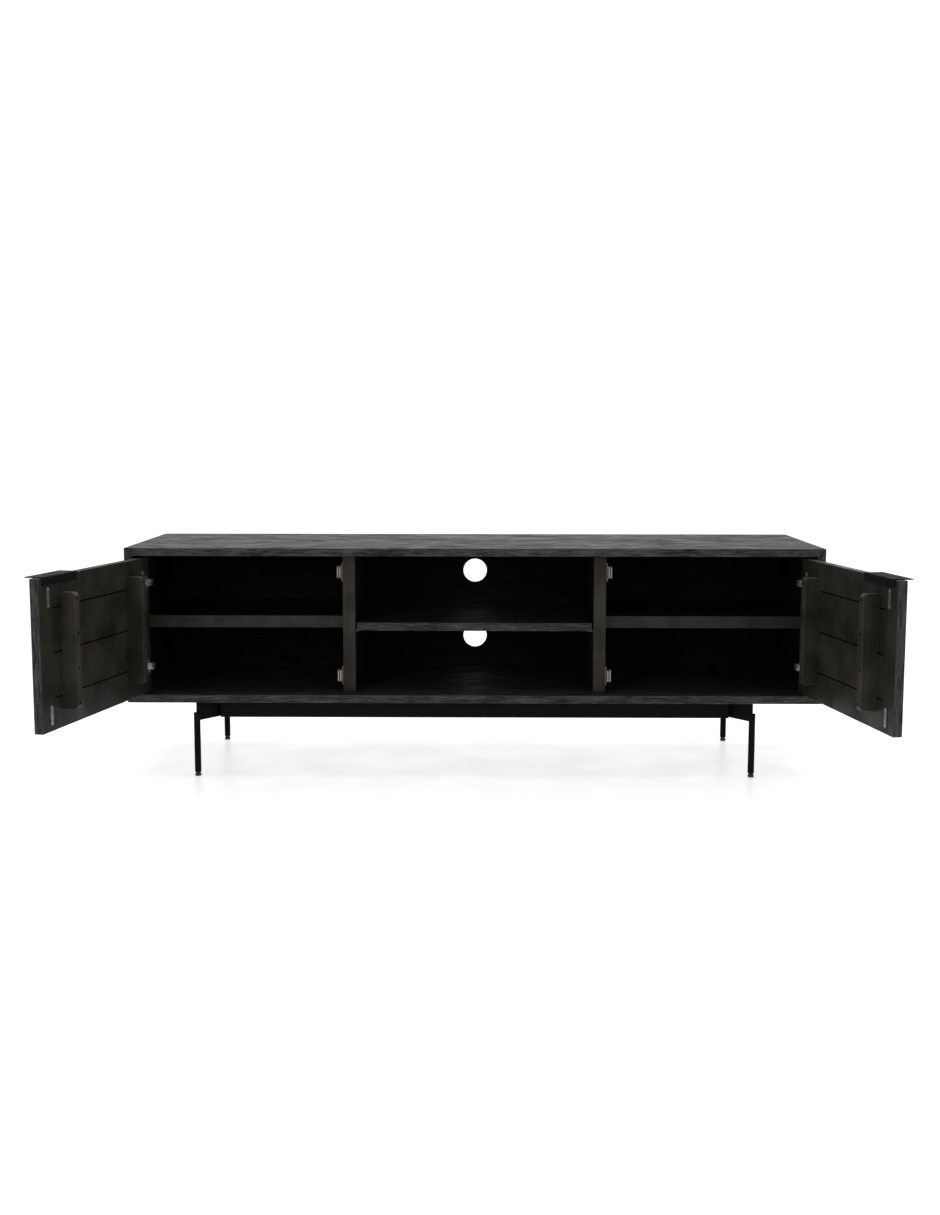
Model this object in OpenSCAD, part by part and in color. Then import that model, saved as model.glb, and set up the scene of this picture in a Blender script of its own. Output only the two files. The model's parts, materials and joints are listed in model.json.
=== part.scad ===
// Media cabinet: mitred carcass on a steel base, two inset doors on concealed hinges.
// Millimetres, +Z up, front towards -Y, origin on the floor under the middle of the carcass.

/* [Overall] */
// Width of the carcass
cabinet_w = 1600; // [1400:10:2000]
// Depth of the carcass
cabinet_d = 450; // [400:5:520]
// Height of the top surface above the floor
cabinet_h = 536; // [500:1:620]
// Height of the carcass itself
carcass_h = 358; // [340:1:400]

/* [Boards] */
// Thickness of the top, bottom and side boards
board_t = 18.5; // [18:0.5:22]
// Thickness of the two upright dividers
divider_t = 28.5; // [24:0.5:32]
// Clear width of the open middle bay
middle_bay_w = 552; // [480:1:640]
// How far the dividers stand behind the front
divider_setback = 38.5; // [38.5:0.5:40]
// Thickness of the back panel
back_t = 12; // [8:1:15]
// How far the back panel stands inside the rear edge
back_setback = 11; // [8:1:14]

/* [Shelves] */
// Thickness of the shelves behind the doors
side_shelf_t = 28.5; // [18:0.5:30]
// How far the side shelves stand behind the front
side_shelf_setback = 80; // [76:1:120]
// Thickness of the middle shelf
middle_shelf_t = 19; // [16:0.5:24]
// Height of the middle shelf's top above the floor
middle_shelf_top = 359; // [340:1:380]
// How far the middle shelf stands behind the front
middle_shelf_setback = 46; // [40:1:80]
// Radius of the two cable holes in the back
cable_hole_r = 30; // [20:1:35]
// Height of the upper cable hole's centre
upper_hole_z = 444; // [430:1:460]
// Height of the lower cable hole's centre
lower_hole_z = 275; // [260:1:290]

/* [Doors] */
// Width of each door
door_w = 501; // [500:0.5:501]
// Height of each door
door_h = 313.5; // [300:0.5:314]
// Thickness of each door
door_t = 19.5; // [18:0.5:20]
// How far the doors' outer faces stand behind the front
door_setback = 16.5; // [16:0.5:17]
// Gap under each door
door_gap_below = 2; // [1.5:0.5:4]
// Opening angle of the left door as it stands
left_open = 102.4; // [0:0.1:104]
// Opening angle of the right door as it stands
right_open = 99.5; // [0:0.1:104]
// Height of the upper hinge's centre
upper_hinge_z = 454; // [440:1:460]
// Height of the lower hinge's centre
lower_hinge_z = 259; // [250:1:270]

/* [Base] */
// Diameter of the round legs
leg_d = 15; // [12:0.5:20]
// Distance from the middle to each leg's axis, sideways
leg_x = 645.7; // [620:0.1:660]
// Distance from the middle to each leg's axis, front to back
leg_y = 199.2; // [180:0.1:205]
// Height of the legs' tops
leg_top_z = 150; // [140:1:155]
// Height of the long rails' undersides
rail_bottom_z = 131; // [125:1:140]
// Depth of each long rail, front to back
rail_d = 44; // [30:1:50]
// Distance from the middle to each long rail's centre
rail_y = 137; // [120:1:150]
// Half length of the long rails with their end plates
rail_half = 598; // [560:1:610]

/* [Hidden] */
$fn = 48;

half_w = cabinet_w / 2;
half_d = cabinet_d / 2;
front_y = -half_d;
carcass_z = cabinet_h - carcass_h;
inner_x = half_w - board_t;
floor_z = carcass_z + board_t;
ceiling_z = cabinet_h - board_t;
inner_h = ceiling_z - floor_z;
clearance = 0.05;

// Back panel, let into a rebate around the rear of the carcass
rebate = 8;
rebate_gap = 0.5;
back_y = half_d - back_setback - back_t;
back_screw_r = 1.5;
back_screw_l = 25;
back_screw_head_r = 3;
back_screw_head_t = 2;
cable_holes_z = [upper_hole_z, lower_hole_z];

// Mitre splines and divider dowels
spline_t = 4;
spline_w = 12;
spline_front = -205;
spline_back = 195;
spline_inset = 1.5;
dowel_r = 4;
dowel_l = 30;
dowel_in_board = 11;
dowels_y = [-140, 0, 150];

// Dividers
bay_x = middle_bay_w / 2;
divider_x = bay_x + divider_t / 2;
divider_side_x = bay_x + divider_t;
divider_y = front_y + divider_setback;

// Shelves and the pegs that carry them
side_shelf_z = (floor_z + ceiling_z - side_shelf_t) / 2;
side_shelf_y = front_y + side_shelf_setback;
middle_shelf_z = middle_shelf_top - middle_shelf_t;
middle_shelf_y = front_y + middle_shelf_setback;
shelf_back_gap = 2;
side_shelf_gap = 1;
middle_shelf_gap = 3;
peg_r = 2.5;
peg_in = 10;
peg_out = 9;
collar_r = 4.5;
collar_t = 1;
side_pegs_y = [-115, 165];
middle_pegs_y = [-150, 165];

// Hinge axis, measured from the door's hinge edge and its inner face
hinge_gap = 3;
pin_s = 13;
pin_depth = 11;
door_inner_y = front_y + door_setback + door_t;
door_z = floor_z + door_gap_below;
pivot_x = -inner_x + hinge_gap + pin_s;
pivot_y = door_inner_y - pin_depth;
hinges_z = [upper_hinge_z, lower_hinge_z];
hinges_local_z = [for (z = hinges_z) z - door_z];

// Door: relief grooves and the drilled ends beside the battens
groove_w = 3;
groove_depth = 4;
groove_hole_r = 2.4;
groove_holes_s = [119, 422];
groove_start = 119;
groove_end = 445;
groove_pitch = 92;
groove_mid_z = 158;

// Battens on edge, screwed on from their narrow faces
batten_t = 20;
batten_h = 33;
batten_l = 242;
batten_z = 36.5;
batten_corner_r = 10;
hinge_batten_s = 85.5;
free_batten_s = 395.5;
battens_s = [hinge_batten_s, free_batten_s];
batten_screw_first = 13;
batten_screw_pitch = 72;
batten_screws_z = [for (i = [0:3]) batten_z + batten_screw_first + i * batten_screw_pitch];
batten_counterbore = 8;
batten_head_r = 4;
batten_head_t = 3;
batten_shank_r = 1.75;
batten_screw_in_door = 11;

// Handle: bent plate over the door's top edge
handle_s = 344;
handle_w = 142;
handle_t = 2;
handle_flange = 15.5;
handle_lip = 19.5;
handle_corner_r = 3;
handle_screws_s = [handle_s + handle_w / 4, handle_s + handle_w * 3 / 4];
handle_screw_z = door_h - 7.5;
handle_screw_r = 1.4;
handle_screw_in = 10;
handle_head_r = 2.6;
handle_head_t = 1.2;

// Magnetic catches on the dividers, and their strike plates on the doors
catch_centres_z = [477.5, 235.5];
strike_centres_z = [471.5, 231.5];
catch_offset = 9;
strike_t = 1.4;
catch_gap = 0.6;
catch_front_y = door_inner_y + strike_t + catch_gap;
catch_depth = 22;
catch_flange_t = 2.5;
catch_flange_h = 43;
catch_body_t = 13.5;
catch_body_h = 28;
catch_set_in = 0.6;
pole_t = 1.3;
pole_h = 24;
pole_spread = 5.4;
pole_depth = 20;
magnet_h = 22;
catch_screw_dz = 17.8;
catch_screw_y = catch_front_y + 12;
catch_screw_r = 1.4;
catch_screw_in = 10;
catch_head_r = 2.7;
catch_head_t = 1.5;
strike_s = divider_side_x * -1 - catch_offset + inner_x - hinge_gap;
strike_w = 12;
strike_l = 42;
strike_screw_dz = 16;
strike_screw_r = 1.4;
strike_screw_in = 9;
strike_head_r = 2.6;
strike_head_t = 0.5;

// Concealed hinge: cup in the door, curved arm, plate on the side board
cup_s = 21.5;
cup_r = 17.5;
cup_depth = 14.1;
cup_wall = 0.6;
cup_flange_t = 1;
cup_rim_r = 18.3;
cup_ear_s = 31;
cup_ear_dz = 24;
cup_ear_r = 6;
cup_screw_r = 1.6;
cup_screw_in = 10;
cup_head_r = 3.1;
cup_head_t = 1.2;
lug_from = 8;
lug_to = 11.5;
lug_half = 2.6;
pin_r = 1.25;
eye_r = 2.4;
eye_bore_r = 1.3;
arm_h = 15;
arm_t = 2;
arm_reach = 16;
arm_reach_angle = 11;
elbow_l = 13;
elbow_angle = 80;
elbow_in = 1.2;
elbow_out = 5.6;
arm_back_angle = 170;
plate_t = 2.5;
plate_block_t = 4.5;
plate_front_y = front_y + 50;
plate_l = 42;
plate_h = 20;
plate_wing_h = 48;
plate_wing_l = 16;
plate_screw_y = front_y + 73;
plate_screw_dz = 17;
plate_screw_r = 1.9;
plate_screw_in = 13;
plate_head_r = 3.5;
plate_head_t = 1.5;
block_h = 12;
clamp_screws_y = [front_y + 59, front_y + 85];
clamp_r = 1.9;
clamp_in = 5;
clamp_head_r = 3.2;
clamp_head_t = 1.5;
foot_x = -inner_x + plate_t + plate_block_t;
foot_end_y = plate_front_y + plate_l + 1;

// Base: rails, wings, pads, tabs, cross bars and legs
tab_t = 3;
rail_top_z = carcass_z - tab_t;
rail_wall = 2;
rail_h = rail_top_z - rail_bottom_z;
end_plate_t = 3;
wing_t = 5;
wing_dx = leg_x - rail_half;
wing_dy = leg_y - rail_y;
wing_l = norm([wing_dx, wing_dy]);
wing_angle = atan2(wing_dy, wing_dx);
pad_l = 60;
pad_w = 46;
pad_centre = wing_l - 34;
pad_screw_off = 15;
tabs_x = [-520, -180, 180, 520];
tab_w = 30;
tab_l = 90;
tab_screw_off = 34;
bars_x = [-350, 350];
bar_w = 25;
base_screw_r = 1.9;
base_screw_in = 13;
base_head_r = 4;
base_head_t = 2.2;

// Levelling feet
foot_r = 7.2;
foot_disc_t = 6;
foot_neck_r = 5.2;
foot_neck_z = 9;
foot_gap = 0.2;
stud_r = 3.95;
stud_bore_r = 4;
stud_top_z = 33;
stud_bore_top_z = 36;

wood = "#3b3a39";
olive = "#5a5348";
steel = "#232324";
nickel = "#c9c6bf";
beech = "#c8a877";
zinc = "#a9a9a6";
copper = "#8a5f43";
plastic = "#1b1b1b";

// ---------- shared shapes ----------

// A plan outline in X and Z, run from front to back
module extrude_back(depth) {
    translate([0, depth / 2, 0]) rotate([90, 0, 0]) linear_extrude(depth) children();
}

// A round bar from the origin along +Y
module rod_y(r, l) {
    rotate([-90, 0, 0]) cylinder(r = r, h = l);
}

// A round bar from the origin along +X
module rod_x(r, l) {
    rotate([0, 90, 0]) cylinder(r = r, h = l);
}

// The children once as they stand and once mirrored to the other side
module both_sides() {
    children();
    mirror([1, 0, 0]) children();
}

// The children at the front and mirrored to the rear
module front_and_rear() {
    children();
    mirror([0, 1, 0]) children();
}

// ---------- carcass ----------

module back_pocket() {
    translate([-inner_x - rebate, back_y, floor_z - rebate])
        cube([2 * (inner_x + rebate), cabinet_d, inner_h + 2 * rebate]);
}

// One spline across a mitre, grown by the given amount
module spline_at(x, z, lean, grow) {
    translate([x, spline_front - grow, z]) rotate([0, lean, 0])
        translate([-spline_w / 2 - grow, 0, -spline_t / 2 - grow])
            cube([spline_w + 2 * grow, spline_back - spline_front + 2 * grow, spline_t + 2 * grow]);
}

module splines(grow) {
    middle = board_t / 2 + spline_inset;
    for (sx = [-1, 1], sz = [-1, 1])
        spline_at(sx * (half_w - middle), (cabinet_h + carcass_z) / 2 + sz * (carcass_h / 2 - middle),
            -45 * sx * sz * -1, grow);
}

module dowels(grow) {
    for (sx = [-1, 1], y = dowels_y, z = [floor_z - dowel_in_board,
            ceiling_z + dowel_in_board - dowel_l])
        translate([sx * divider_x, y, z - grow]) cylinder(r = dowel_r + grow, h = dowel_l + 2 * grow);
}

// Places of the back panel's screws, as X and Z pairs
back_screw_places = concat(
    [for (x = [-700, -420, -140, 140, 420, 700], z = [floor_z - rebate / 2, ceiling_z + rebate / 2]) [x, z]],
    [for (x = [-1, 1], z = [-97, 0, 97]) [x * (inner_x + rebate / 2), (floor_z + ceiling_z) / 2 + z]],
    [for (x = [-1, 1], z = [-127, 0, 127]) [x * divider_x, (floor_z + ceiling_z) / 2 + z]]);

module back_screw_holes() {
    for (p = back_screw_places)
        translate([p[0], back_y + back_t - back_screw_l - 1, p[1]])
            rod_y(back_screw_r + clearance, back_screw_l + 2);
}

// Pegs on one face: face is its X, dir the way the peg stands out
module pegs_at(face, dir, y_list, shelf_z, grow) {
    for (y = y_list)
        translate([face - dir * (peg_in + grow), y, shelf_z - peg_r]) rotate([0, dir * 90, 0])
            cylinder(r = peg_r + grow, h = peg_in + peg_out + grow);
}

module side_pegs(grow) {
    both_sides() {
        pegs_at(-inner_x, 1, side_pegs_y, side_shelf_z, grow);
        pegs_at(-divider_side_x, -1, side_pegs_y, side_shelf_z, grow);
    }
}

module middle_pegs(grow) {
    both_sides() pegs_at(-bay_x, 1, middle_pegs_y, middle_shelf_z, grow);
}

module collars_at(face, dir, y_list, shelf_z) {
    for (y = y_list)
        intersection() {
            translate([face, y, shelf_z - peg_r]) rotate([0, dir * 90, 0])
                cylinder(r = collar_r, h = collar_t);
            translate([face - 20, y - 20, shelf_z - 20]) cube([40, 40, 20]);
        }
}

module base_screw_cuts() {
    for (p = base_screw_places)
        translate([p[0], p[1], carcass_z - 1])
            cylinder(r = base_screw_r + clearance, h = base_screw_in + 1.5);
}

module top_panel() {
    color(wood) difference() {
        extrude_back(cabinet_d) polygon([[-half_w, cabinet_h], [half_w, cabinet_h],
            [inner_x, ceiling_z], [-inner_x, ceiling_z]]);
        back_pocket();
        splines(clearance);
        dowels(clearance);
        back_screw_holes();
    }
}

module bottom_panel() {
    color(wood) difference() {
        extrude_back(cabinet_d) polygon([[-half_w, carcass_z], [half_w, carcass_z],
            [inner_x, floor_z], [-inner_x, floor_z]]);
        back_pocket();
        splines(clearance);
        dowels(clearance);
        back_screw_holes();
        base_screw_cuts();
    }
}

module side_panel() {
    difference() {
        extrude_back(cabinet_d) polygon([[-half_w, carcass_z], [-half_w, cabinet_h],
            [-inner_x, ceiling_z], [-inner_x, floor_z]]);
        back_pocket();
        splines(clearance);
        back_screw_holes();
        side_pegs(clearance);
        plate_screws(clearance);
    }
}

module left_side_panel() { color(wood) side_panel(); }
module right_side_panel() { color(wood) mirror([1, 0, 0]) side_panel(); }

module back_panel() {
    reach_x = inner_x + rebate - rebate_gap;
    color(wood) difference() {
        translate([-reach_x, back_y, floor_z - rebate + rebate_gap])
            cube([2 * reach_x, back_t, inner_h + 2 * (rebate - rebate_gap)]);
        for (z = cable_holes_z)
            translate([0, back_y - 1, z]) rod_y(cable_hole_r, back_t + 2);
        back_screw_holes();
    }
}

module back_panel_screws() {
    color(zinc) for (p = back_screw_places) {
        translate([p[0], back_y + back_t - back_screw_l, p[1]]) rod_y(back_screw_r, back_screw_l);
        translate([p[0], back_y + back_t, p[1]]) rod_y(back_screw_head_r, back_screw_head_t);
    }
}

module mitre_splines() { color(beech) splines(0); }
module divider_dowels() { color(beech) dowels(0); }

module divider() {
    difference() {
        translate([-divider_side_x, divider_y, floor_z])
            cube([divider_t, back_y - divider_y, inner_h]);
        dowels(clearance);
        back_screw_holes();
        side_pegs(clearance);
        middle_pegs(clearance);
        catch_fixings(clearance);
    }
}

module left_divider() { color(olive) divider(); }
module right_divider() { color(olive) mirror([1, 0, 0]) divider(); }

// ---------- shelves ----------

module side_shelf() {
    translate([-inner_x + side_shelf_gap, side_shelf_y, side_shelf_z])
        cube([inner_x - divider_side_x - 2 * side_shelf_gap,
            back_y - shelf_back_gap - side_shelf_y, side_shelf_t]);
}

module left_shelf() { color(olive) side_shelf(); }
module right_shelf() { color(olive) mirror([1, 0, 0]) side_shelf(); }

module middle_shelf() {
    color(wood) translate([-bay_x + middle_shelf_gap, middle_shelf_y, middle_shelf_z])
        cube([middle_bay_w - 2 * middle_shelf_gap, back_y - shelf_back_gap - middle_shelf_y,
            middle_shelf_t]);
}

module side_shelf_pegs() {
    color(nickel) {
        side_pegs(0);
        both_sides() {
            collars_at(-inner_x, 1, side_pegs_y, side_shelf_z);
            collars_at(-divider_side_x, -1, side_pegs_y, side_shelf_z);
        }
    }
}

module middle_shelf_pegs() {
    color(nickel) {
        middle_pegs(0);
        both_sides() collars_at(-bay_x, 1, middle_pegs_y, middle_shelf_z);
    }
}

// ---------- magnetic catches ----------

// The children at each catch: origin on the divider's outer side face, +X out of that face
module at_catches() {
    for (z = catch_centres_z)
        both_sides() translate([-divider_side_x, 0, z]) mirror([1, 0, 0]) children();
}

module catch_fixings(grow) {
    at_catches() for (dz = [-1, 1])
        translate([-catch_screw_in - grow, catch_screw_y, dz * catch_screw_dz])
            rod_x(catch_screw_r + grow, catch_screw_in + catch_flange_t + 2 * grow);
}

module catch_poles(grow) {
    for (side = [-1, 1])
        translate([catch_offset + side * pole_spread / 2 - pole_t / 2 - grow, catch_front_y,
            -pole_h / 2 - grow]) cube([pole_t + 2 * grow, pole_depth, pole_h + 2 * grow]);
}

module catch_housings() {
    inside = pole_spread + pole_t;
    color(copper) difference() {
        at_catches() {
            translate([0, catch_front_y + catch_set_in, -catch_flange_h / 2])
                cube([catch_flange_t, catch_depth, catch_flange_h]);
            translate([0, catch_front_y + catch_set_in, -catch_body_h / 2])
                cube([catch_body_t, catch_depth, catch_body_h]);
        }
        at_catches() translate([catch_offset - inside / 2, catch_front_y, -pole_h / 2])
            cube([inside, pole_depth, pole_h]);
        catch_fixings(clearance);
    }
}

module catch_magnets() {
    gap = pole_spread - pole_t;
    color(steel) at_catches()
        translate([catch_offset - gap / 2, catch_front_y + 1, -magnet_h / 2])
            cube([gap, pole_depth - 1, magnet_h]);
}

module catch_pole_plates() { color(nickel) at_catches() catch_poles(0); }

module catch_screws() {
    color(zinc) {
        catch_fixings(0);
        at_catches() for (dz = [-1, 1])
            translate([catch_flange_t, catch_screw_y, dz * catch_screw_dz])
                rod_x(catch_head_r, catch_head_t);
    }
}

// ---------- hinges, cabinet side (left-hand ones, mirrored to the right) ----------

module at_hinges() {
    both_sides() for (z = hinges_z) translate([0, 0, z]) children();
}

module plate_screws(grow) {
    for (z = hinges_z, dz = [-1, 1])
        translate([-inner_x - plate_screw_in - grow, plate_screw_y, z + dz * plate_screw_dz])
            rod_x(plate_screw_r + grow, plate_screw_in + plate_t + 2 * grow);
}

module clamp_screws(grow) {
    for (y = clamp_screws_y) translate([foot_x - clamp_in - grow, y, 0])
        rod_x(clamp_r + grow, clamp_in + arm_t + 2 * grow);
}

module hinge_mounting_plates() {
    color(nickel) difference() {
        at_hinges() {
            translate([-inner_x, plate_front_y, -plate_h / 2]) cube([plate_t, plate_l, plate_h]);
            translate([-inner_x, plate_screw_y - plate_wing_l / 2, -plate_wing_h / 2])
                cube([plate_t, plate_wing_l, plate_wing_h]);
            translate([-inner_x + plate_t, plate_front_y, -block_h / 2])
                cube([plate_block_t, plate_l, block_h]);
        }
        at_hinges() clamp_screws(clearance);
        both_sides() plate_screws(clearance);
    }
}

module mounting_plate_screws() {
    color(zinc) both_sides() {
        plate_screws(0);
        for (z = hinges_z, dz = [-1, 1])
            translate([-inner_x + plate_t, plate_screw_y, z + dz * plate_screw_dz])
                rod_x(plate_head_r, plate_head_t);
    }
}

// Where the arm turns, in plan: over the door's edge, then back towards the side board
elbow_x = pivot_x + arm_reach * cos(arm_reach_angle);
elbow_y = pivot_y + arm_reach * sin(arm_reach_angle);
turn_x = elbow_x + elbow_l * cos(elbow_angle);
turn_y = elbow_y + elbow_l * sin(elbow_angle);
arm_back_l = (turn_x - foot_x - arm_t / 2) / -cos(arm_back_angle);
arm_back_end_y = turn_y + arm_back_l * sin(arm_back_angle);

// A straight strip in plan from the origin along +X
module strip(l, left, right) {
    translate([0, -right]) square([l, left + right]);
}

// The curved arm in plan: out of the cup, round the door's edge, back to the plate
module arm_outline() {
    difference() {
        union() {
            translate([pivot_x, pivot_y]) circle(r = eye_r);
            translate([pivot_x, pivot_y]) rotate(arm_reach_angle)
                strip(arm_reach, arm_t / 2, arm_t / 2);
            translate([elbow_x, elbow_y]) rotate(elbow_angle) translate([-elbow_in, 0])
                strip(elbow_l + elbow_in, elbow_in, elbow_out);
            translate([turn_x, turn_y]) rotate(arm_back_angle)
                strip(arm_back_l, arm_t / 2, arm_t / 2);
            translate([foot_x, arm_back_end_y - arm_t / 2])
                square([arm_t, foot_end_y - arm_back_end_y + arm_t / 2]);
        }
        translate([pivot_x, pivot_y]) circle(r = eye_bore_r);
    }
}

module hinge_arm() {
    difference() {
        translate([0, 0, -arm_h / 2]) linear_extrude(arm_h) arm_outline();
        clamp_screws(clearance);
    }
}

module hinge_arms() { color(nickel) at_hinges() hinge_arm(); }

module arm_clamp_screws() {
    color(zinc) at_hinges() {
        clamp_screws(0);
        for (y = clamp_screws_y) translate([foot_x + arm_t, y, 0]) rod_x(clamp_head_r, clamp_head_t);
    }
}

// ---------- base ----------

// Places of the screws that hold the base to the carcass, as X and Y pairs
base_screw_places = concat(
    [for (x = tabs_x, sy = [-1, 1], k = [-1, 1]) [x, sy * (rail_y + k * tab_screw_off)]],
    [for (sx = [-1, 1], sy = [-1, 1], k = [-1, 1])
        [sx * (rail_half + pad_centre * cos(wing_angle) - k * pad_screw_off * sin(wing_angle)),
         sy * (rail_y + pad_centre * sin(wing_angle) + k * pad_screw_off * cos(wing_angle))]]);

module rail() {
    half = rail_half - end_plate_t;
    color(steel) difference() {
        translate([-half, -rail_y - rail_d / 2, rail_bottom_z]) cube([2 * half, rail_d, rail_h]);
        translate([-half - 1, -rail_y - rail_d / 2 + rail_wall, rail_bottom_z + rail_wall])
            cube([2 * half + 2, rail_d - 2 * rail_wall, rail_h - 2 * rail_wall]);
    }
}

module front_rail() { rail(); }
module rear_rail() { mirror([0, 1, 0]) rail(); }

module rail_end_plates() {
    color(steel) front_and_rear() both_sides()
        translate([-rail_half, -rail_y - rail_d / 2, rail_bottom_z])
            cube([end_plate_t, rail_d, rail_h]);
}

// One wing in the corner at -X, -Y: a plate on edge from the rail's end to the leg's axis
module wing() {
    slant = wing_t / 2 / cos(wing_angle);
    off_x = wing_t / 2 * sin(wing_angle);
    off_y = wing_t / 2 * cos(wing_angle);
    difference() {
        translate([0, 0, rail_bottom_z]) linear_extrude(rail_h) polygon([
            [-rail_half, -rail_y + slant], [-leg_x - off_x, -leg_y + off_y],
            [-leg_x + off_x, -leg_y - off_y], [-rail_half, -rail_y - slant]]);
        translate([-leg_x, -leg_y, 0]) cylinder(d = leg_d + 2 * clearance, h = leg_top_z);
    }
}

module corner_wings() { color(steel) front_and_rear() both_sides() wing(); }

module base_screw_holes() {
    for (p = base_screw_places)
        translate([p[0], p[1], rail_top_z - 1]) cylinder(r = base_screw_r + clearance, h = tab_t + 2);
}

module corner_pads() {
    color(steel) difference() {
        front_and_rear() both_sides()
            translate([-rail_half, -rail_y, rail_top_z]) rotate([0, 0, 180 + wing_angle])
                translate([pad_centre - pad_l / 2, -pad_w / 2, 0]) cube([pad_l, pad_w, tab_t]);
        base_screw_holes();
    }
}

module mounting_tabs() {
    color(steel) difference() {
        for (x = tabs_x, sy = [-1, 1])
            translate([x - tab_w / 2, sy * rail_y - tab_l / 2, rail_top_z])
                cube([tab_w, tab_l, tab_t]);
        base_screw_holes();
    }
}

module cross_bars() {
    span = 2 * rail_y - rail_d;
    color(steel) for (x = bars_x) difference() {
        translate([x - bar_w / 2, -span / 2, rail_top_z - bar_w]) cube([bar_w, span, bar_w]);
        translate([x - bar_w / 2 + rail_wall, -span / 2 - 1, rail_top_z - bar_w + rail_wall])
            cube([bar_w - 2 * rail_wall, span + 2, bar_w - 2 * rail_wall]);
    }
}

module base_screws() {
    color(zinc) for (p = base_screw_places) translate([p[0], p[1], 0]) {
        translate([0, 0, rail_top_z]) cylinder(r = base_screw_r, h = tab_t + base_screw_in);
        translate([0, 0, rail_top_z - base_head_t]) cylinder(r = base_head_r, h = base_head_t);
    }
}

module leg(sx, sy) {
    bottom_z = foot_neck_z + foot_gap;
    color(steel) translate([sx * leg_x, sy * leg_y, 0]) difference() {
        translate([0, 0, bottom_z]) cylinder(d = leg_d, h = leg_top_z - bottom_z);
        translate([0, 0, bottom_z - 1]) cylinder(r = stud_bore_r, h = stud_bore_top_z - bottom_z + 1);
    }
}

module foot(sx, sy) {
    color(plastic) translate([sx * leg_x, sy * leg_y, 0]) {
        cylinder(r = foot_r, h = foot_disc_t);
        cylinder(r = foot_neck_r, h = foot_neck_z);
        cylinder(r = stud_r, h = stud_top_z);
    }
}

module front_left_leg() { leg(-1, -1); }
module front_right_leg() { leg(1, -1); }
module rear_left_leg() { leg(-1, 1); }
module rear_right_leg() { leg(1, 1); }
module front_left_foot() { foot(-1, -1); }
module front_right_foot() { foot(1, -1); }
module rear_left_foot() { foot(-1, 1); }
module rear_right_foot() { foot(1, 1); }

// ---------- doors ----------
// A door is drawn closed, with its hinge edge at x = 0, its inner face at y = 0, its foot at z = 0

module hang(open_angle) {
    translate([pivot_x, pivot_y, door_z]) rotate([0, 0, -open_angle])
        translate([-pin_s, pin_depth, 0]) children();
}

module left_hang() { hang(left_open) children(); }
module right_hang() { mirror([1, 0, 0]) hang(right_open) children(); }

module oblong_z(w, l, t) {
    translate([0, 0, -l / 2 + w / 2]) rod_y(w / 2, t);
    translate([0, 0, l / 2 - w / 2]) rod_y(w / 2, t);
    translate([-w / 2, 0, -l / 2 + w / 2]) cube([w, t, l - w]);
}

module grooves() {
    for (i = [-1, 0, 1]) translate([0, -groove_depth, groove_mid_z + i * groove_pitch]) {
        translate([groove_start, 0, -groove_w / 2])
            cube([groove_end - groove_start, groove_depth + 1, groove_w]);
        for (s = [groove_start, groove_end]) translate([s, 0, 0]) rod_y(groove_w / 2, groove_depth + 1);
        for (s = groove_holes_s) translate([s, 0, 0]) rod_y(groove_hole_r, groove_depth + 1);
    }
}

module batten_fixings(grow) {
    for (s = battens_s, z = batten_screws_z)
        translate([s + batten_t / 2, -batten_screw_in_door - grow, z])
            rod_y(batten_shank_r + grow, batten_screw_in_door + batten_h - batten_counterbore + grow);
}

module handle_fixings(grow) {
    for (s = handle_screws_s) translate([s, -handle_screw_in - grow, handle_screw_z])
        rod_y(handle_screw_r + grow, handle_screw_in + handle_t + grow);
}

module at_strikes() {
    for (z = strike_centres_z) translate([strike_s, 0, z - door_z]) children();
}

module strike_fixings(grow) {
    at_strikes() for (dz = [-1, 1])
        translate([0, -strike_screw_in - grow, dz * strike_screw_dz])
            rod_y(strike_screw_r + grow, strike_screw_in + strike_t + grow);
}

module cup_fixings(grow) {
    for (z = hinges_local_z, dz = [-1, 1])
        translate([cup_ear_s, -cup_screw_in - grow, z + dz * cup_ear_dz])
            rod_y(cup_screw_r + grow, cup_screw_in + cup_flange_t + grow);
}

module door_panel() {
    color(olive) difference() {
        translate([0, -door_t, 0]) cube([door_w, door_t, door_h]);
        grooves();
        for (z = hinges_local_z)
            translate([cup_s, -cup_depth - clearance, z])
                rod_y(cup_r + clearance, cup_depth + 1);
        batten_fixings(clearance);
        handle_fixings(clearance);
        strike_fixings(clearance);
        cup_fixings(clearance);
    }
}

module batten_outline() {
    r = batten_corner_r;
    square([batten_h - r, batten_l]);
    translate([0, r]) square([batten_h, batten_l - 2 * r]);
    for (z = [r, batten_l - r]) translate([batten_h - r, z]) circle(r = r);
}

module door_battens() {
    color(olive) difference() {
        for (s = battens_s) translate([s + batten_t, 0, batten_z])
            rotate([90, 0, -90]) mirror([1, 0, 0]) linear_extrude(batten_t) batten_outline();
        batten_fixings(clearance);
        for (s = battens_s, z = batten_screws_z)
            translate([s + batten_t / 2, batten_h - batten_counterbore, z])
                rod_y(batten_head_r + clearance, batten_counterbore + 1);
    }
}

module batten_screws() {
    color(zinc) {
        batten_fixings(0);
        for (s = battens_s, z = batten_screws_z)
            translate([s + batten_t / 2, batten_h - batten_counterbore, z])
                rod_y(batten_head_r, batten_head_t);
    }
}

module door_handle() {
    r = handle_corner_r;
    lip_y = -door_t - handle_lip;
    color(steel) difference() {
        union() {
            translate([handle_s, 0, door_h - handle_flange])
                cube([handle_w, handle_t, handle_flange + handle_t]);
            translate([handle_s, lip_y + r, door_h])
                cube([handle_w, handle_t - lip_y - r, handle_t]);
            translate([handle_s + r, lip_y, door_h]) cube([handle_w - 2 * r, r, handle_t]);
            for (s = [handle_s + r, handle_s + handle_w - r])
                translate([s, lip_y + r, door_h]) cylinder(r = r, h = handle_t);
        }
        handle_fixings(clearance);
    }
}

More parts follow.
